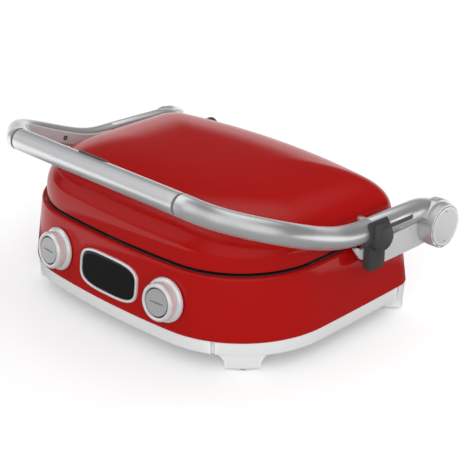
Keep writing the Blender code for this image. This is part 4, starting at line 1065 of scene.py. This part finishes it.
def makeWorld():
    # white to the camera; gloss sees a white horizon, a dim band over it, a bright ceiling and some of the key's side
    world = bpy.data.worlds.new("studio")
    bpy.context.scene.world = world
    world.use_nodes = True
    tree = world.node_tree
    link = tree.links.new
    tree.nodes.clear()
    out = tree.nodes.new("ShaderNodeOutputWorld")
    soft = tree.nodes.new("ShaderNodeBackground")
    soft.inputs["Strength"].default_value = studio["worldSoft"]
    shiny = tree.nodes.new("ShaderNodeBackground")
    plain = tree.nodes.new("ShaderNodeBackground")
    path = tree.nodes.new("ShaderNodeLightPath")
    where = tree.nodes.new("ShaderNodeTexCoord")
    facing = tree.nodes.new("ShaderNodeVectorMath")
    facing.operation = "DOT_PRODUCT"
    az, el = radians(view["azimuth"]), radians(view["elevation"])
    facing.inputs[1].default_value = (sin(az) * cos(el), -cos(az) * cos(el), sin(el))
    link(where.outputs["Generated"], facing.inputs[0])
    nearCamera = tree.nodes.new("ShaderNodeMapRange")
    nearCamera.interpolation_type = "SMOOTHSTEP"
    nearCamera.inputs["From Min"].default_value = 0.5
    nearCamera.inputs["To Max"].default_value = studio["cameraShare"]
    link(facing.outputs["Value"], nearCamera.inputs["Value"])
    backdrop = tree.nodes.new("ShaderNodeMapRange")
    backdrop.interpolation_type = "SMOOTHSTEP"
    backdrop.inputs["From Min"].default_value = -0.5
    backdrop.inputs["From Max"].default_value = -0.8
    link(facing.outputs["Value"], backdrop.inputs["Value"])
    split = tree.nodes.new("ShaderNodeSeparateXYZ")
    lowPart = tree.nodes.new("ShaderNodeMapRange")
    lowPart.interpolation_type = "SMOOTHSTEP"
    lowPart.inputs["From Min"].default_value = 0.30
    lowPart.inputs["From Max"].default_value = 0.12
    link(split.outputs["Z"], lowPart.inputs["Value"])
    horizon = tree.nodes.new("ShaderNodeMath")
    horizon.operation = "MULTIPLY_ADD"
    horizon.inputs[2].default_value = studio["dim"]
    link(backdrop.outputs["Result"], horizon.inputs[0])
    link(lowPart.outputs["Result"], horizon.inputs[1])
    link(where.outputs["Generated"], split.inputs["Vector"])
    sky = tree.nodes.new("ShaderNodeValToRGB")
    sky.color_ramp.interpolation = "EASE"
    for number, (height, white) in enumerate(studio["skyStops"]):
        stop = sky.color_ramp.elements[number]
        stop.position = height
        stop.color = (white, white, white, 1.0)
    link(split.outputs["Z"], sky.inputs["Fac"])
    leftSide = tree.nodes.new("ShaderNodeMapRange")
    leftSide.inputs["From Min"].default_value = 0.25
    leftSide.inputs["From Max"].default_value = -0.25
    link(split.outputs["X"], leftSide.inputs["Value"])
    ceiling = tree.nodes.new("ShaderNodeMath")
    ceiling.operation = "MULTIPLY_ADD"
    link(sky.outputs["Color"], ceiling.inputs[0])
    link(leftSide.outputs["Result"], ceiling.inputs[1])
    link(nearCamera.outputs["Result"], ceiling.inputs[2])
    toBox = tree.nodes.new("ShaderNodeVectorMath")
    toBox.operation = "DOT_PRODUCT"
    toBox.inputs[1].default_value = studio["softbox"]
    link(where.outputs["Generated"], toBox.inputs[0])
    softbox = tree.nodes.new("ShaderNodeMapRange")
    softbox.interpolation_type = "SMOOTHSTEP"
    softbox.inputs["From Min"].default_value = 0.84
    softbox.inputs["From Max"].default_value = 0.97
    softbox.inputs["To Max"].default_value = studio["softboxShare"]
    link(toBox.outputs["Value"], softbox.inputs["Value"])
    overhead = tree.nodes.new("ShaderNodeMath")
    link(ceiling.outputs["Value"], overhead.inputs[0])
    link(softbox.outputs["Result"], overhead.inputs[1])
    total = tree.nodes.new("ShaderNodeMath")
    link(overhead.outputs["Value"], total.inputs[0])
    link(horizon.outputs["Value"], total.inputs[1])
    link(total.outputs["Value"], shiny.inputs["Strength"])
    first = tree.nodes.new("ShaderNodeMixShader")
    link(path.outputs["Is Glossy Ray"], first.inputs[0])
    link(soft.outputs["Background"], first.inputs[1])
    link(shiny.outputs["Background"], first.inputs[2])
    seen = tree.nodes.new("ShaderNodeMath")
    seen.operation = "MAXIMUM"
    link(path.outputs["Is Camera Ray"], seen.inputs[0])
    link(path.outputs["Is Transmission Ray"], seen.inputs[1])
    second = tree.nodes.new("ShaderNodeMixShader")
    link(seen.outputs["Value"], second.inputs[0])
    link(first.outputs["Shader"], second.inputs[1])
    link(plain.outputs["Background"], second.inputs[2])
    plain.inputs["Color"].default_value = (1.0, 1.0, 1.0, 1.0)
    soft.inputs["Color"].default_value = (1.0, 1.0, 1.0, 1.0)
    shiny.inputs["Color"].default_value = (1.0, 1.0, 1.0, 1.0)
    link(second.outputs["Shader"], out.inputs["Surface"])


def makeLamp(name, spot, size, power):
    data = bpy.data.lights.new(name, "AREA")
    data.size = size
    data.energy = power
    lamp = bpy.data.objects.new(name, data)
    lamp.location = spot
    lamp.rotation_euler = (Vector((0.0, 0.0, 0.06)) - Vector(spot)).to_track_quat("-Z", "Y").to_euler()
    lamp.visible_glossy = False
    bpy.context.scene.collection.objects.link(lamp)
    return lamp


def makeCamera():
    data = bpy.data.cameras.new("camera")
    data.sensor_fit = "HORIZONTAL"
    data.sensor_width = view["sensor"]
    data.lens = view["focal"] / view["frame"] * view["sensor"]
    az, el = radians(view["azimuth"]), radians(view["elevation"])
    target = Vector(view["target"])
    outward = Vector((sin(az) * cos(el), -cos(az) * cos(el), sin(el)))
    camera = bpy.data.objects.new("camera", data)
    camera.location = target + outward * view["distance"]
    camera.rotation_euler = (-outward).to_track_quat("-Z", "Y").to_euler()
    bpy.context.scene.collection.objects.link(camera)
    bpy.context.scene.camera = camera


makeFloor()
makeWorld()
for lampName in ("key", "rim"):
    makeLamp(lampName, **studio[lampName])
makeCamera()
bpy.context.scene.view_settings.view_transform = "Standard"
print("stage made")
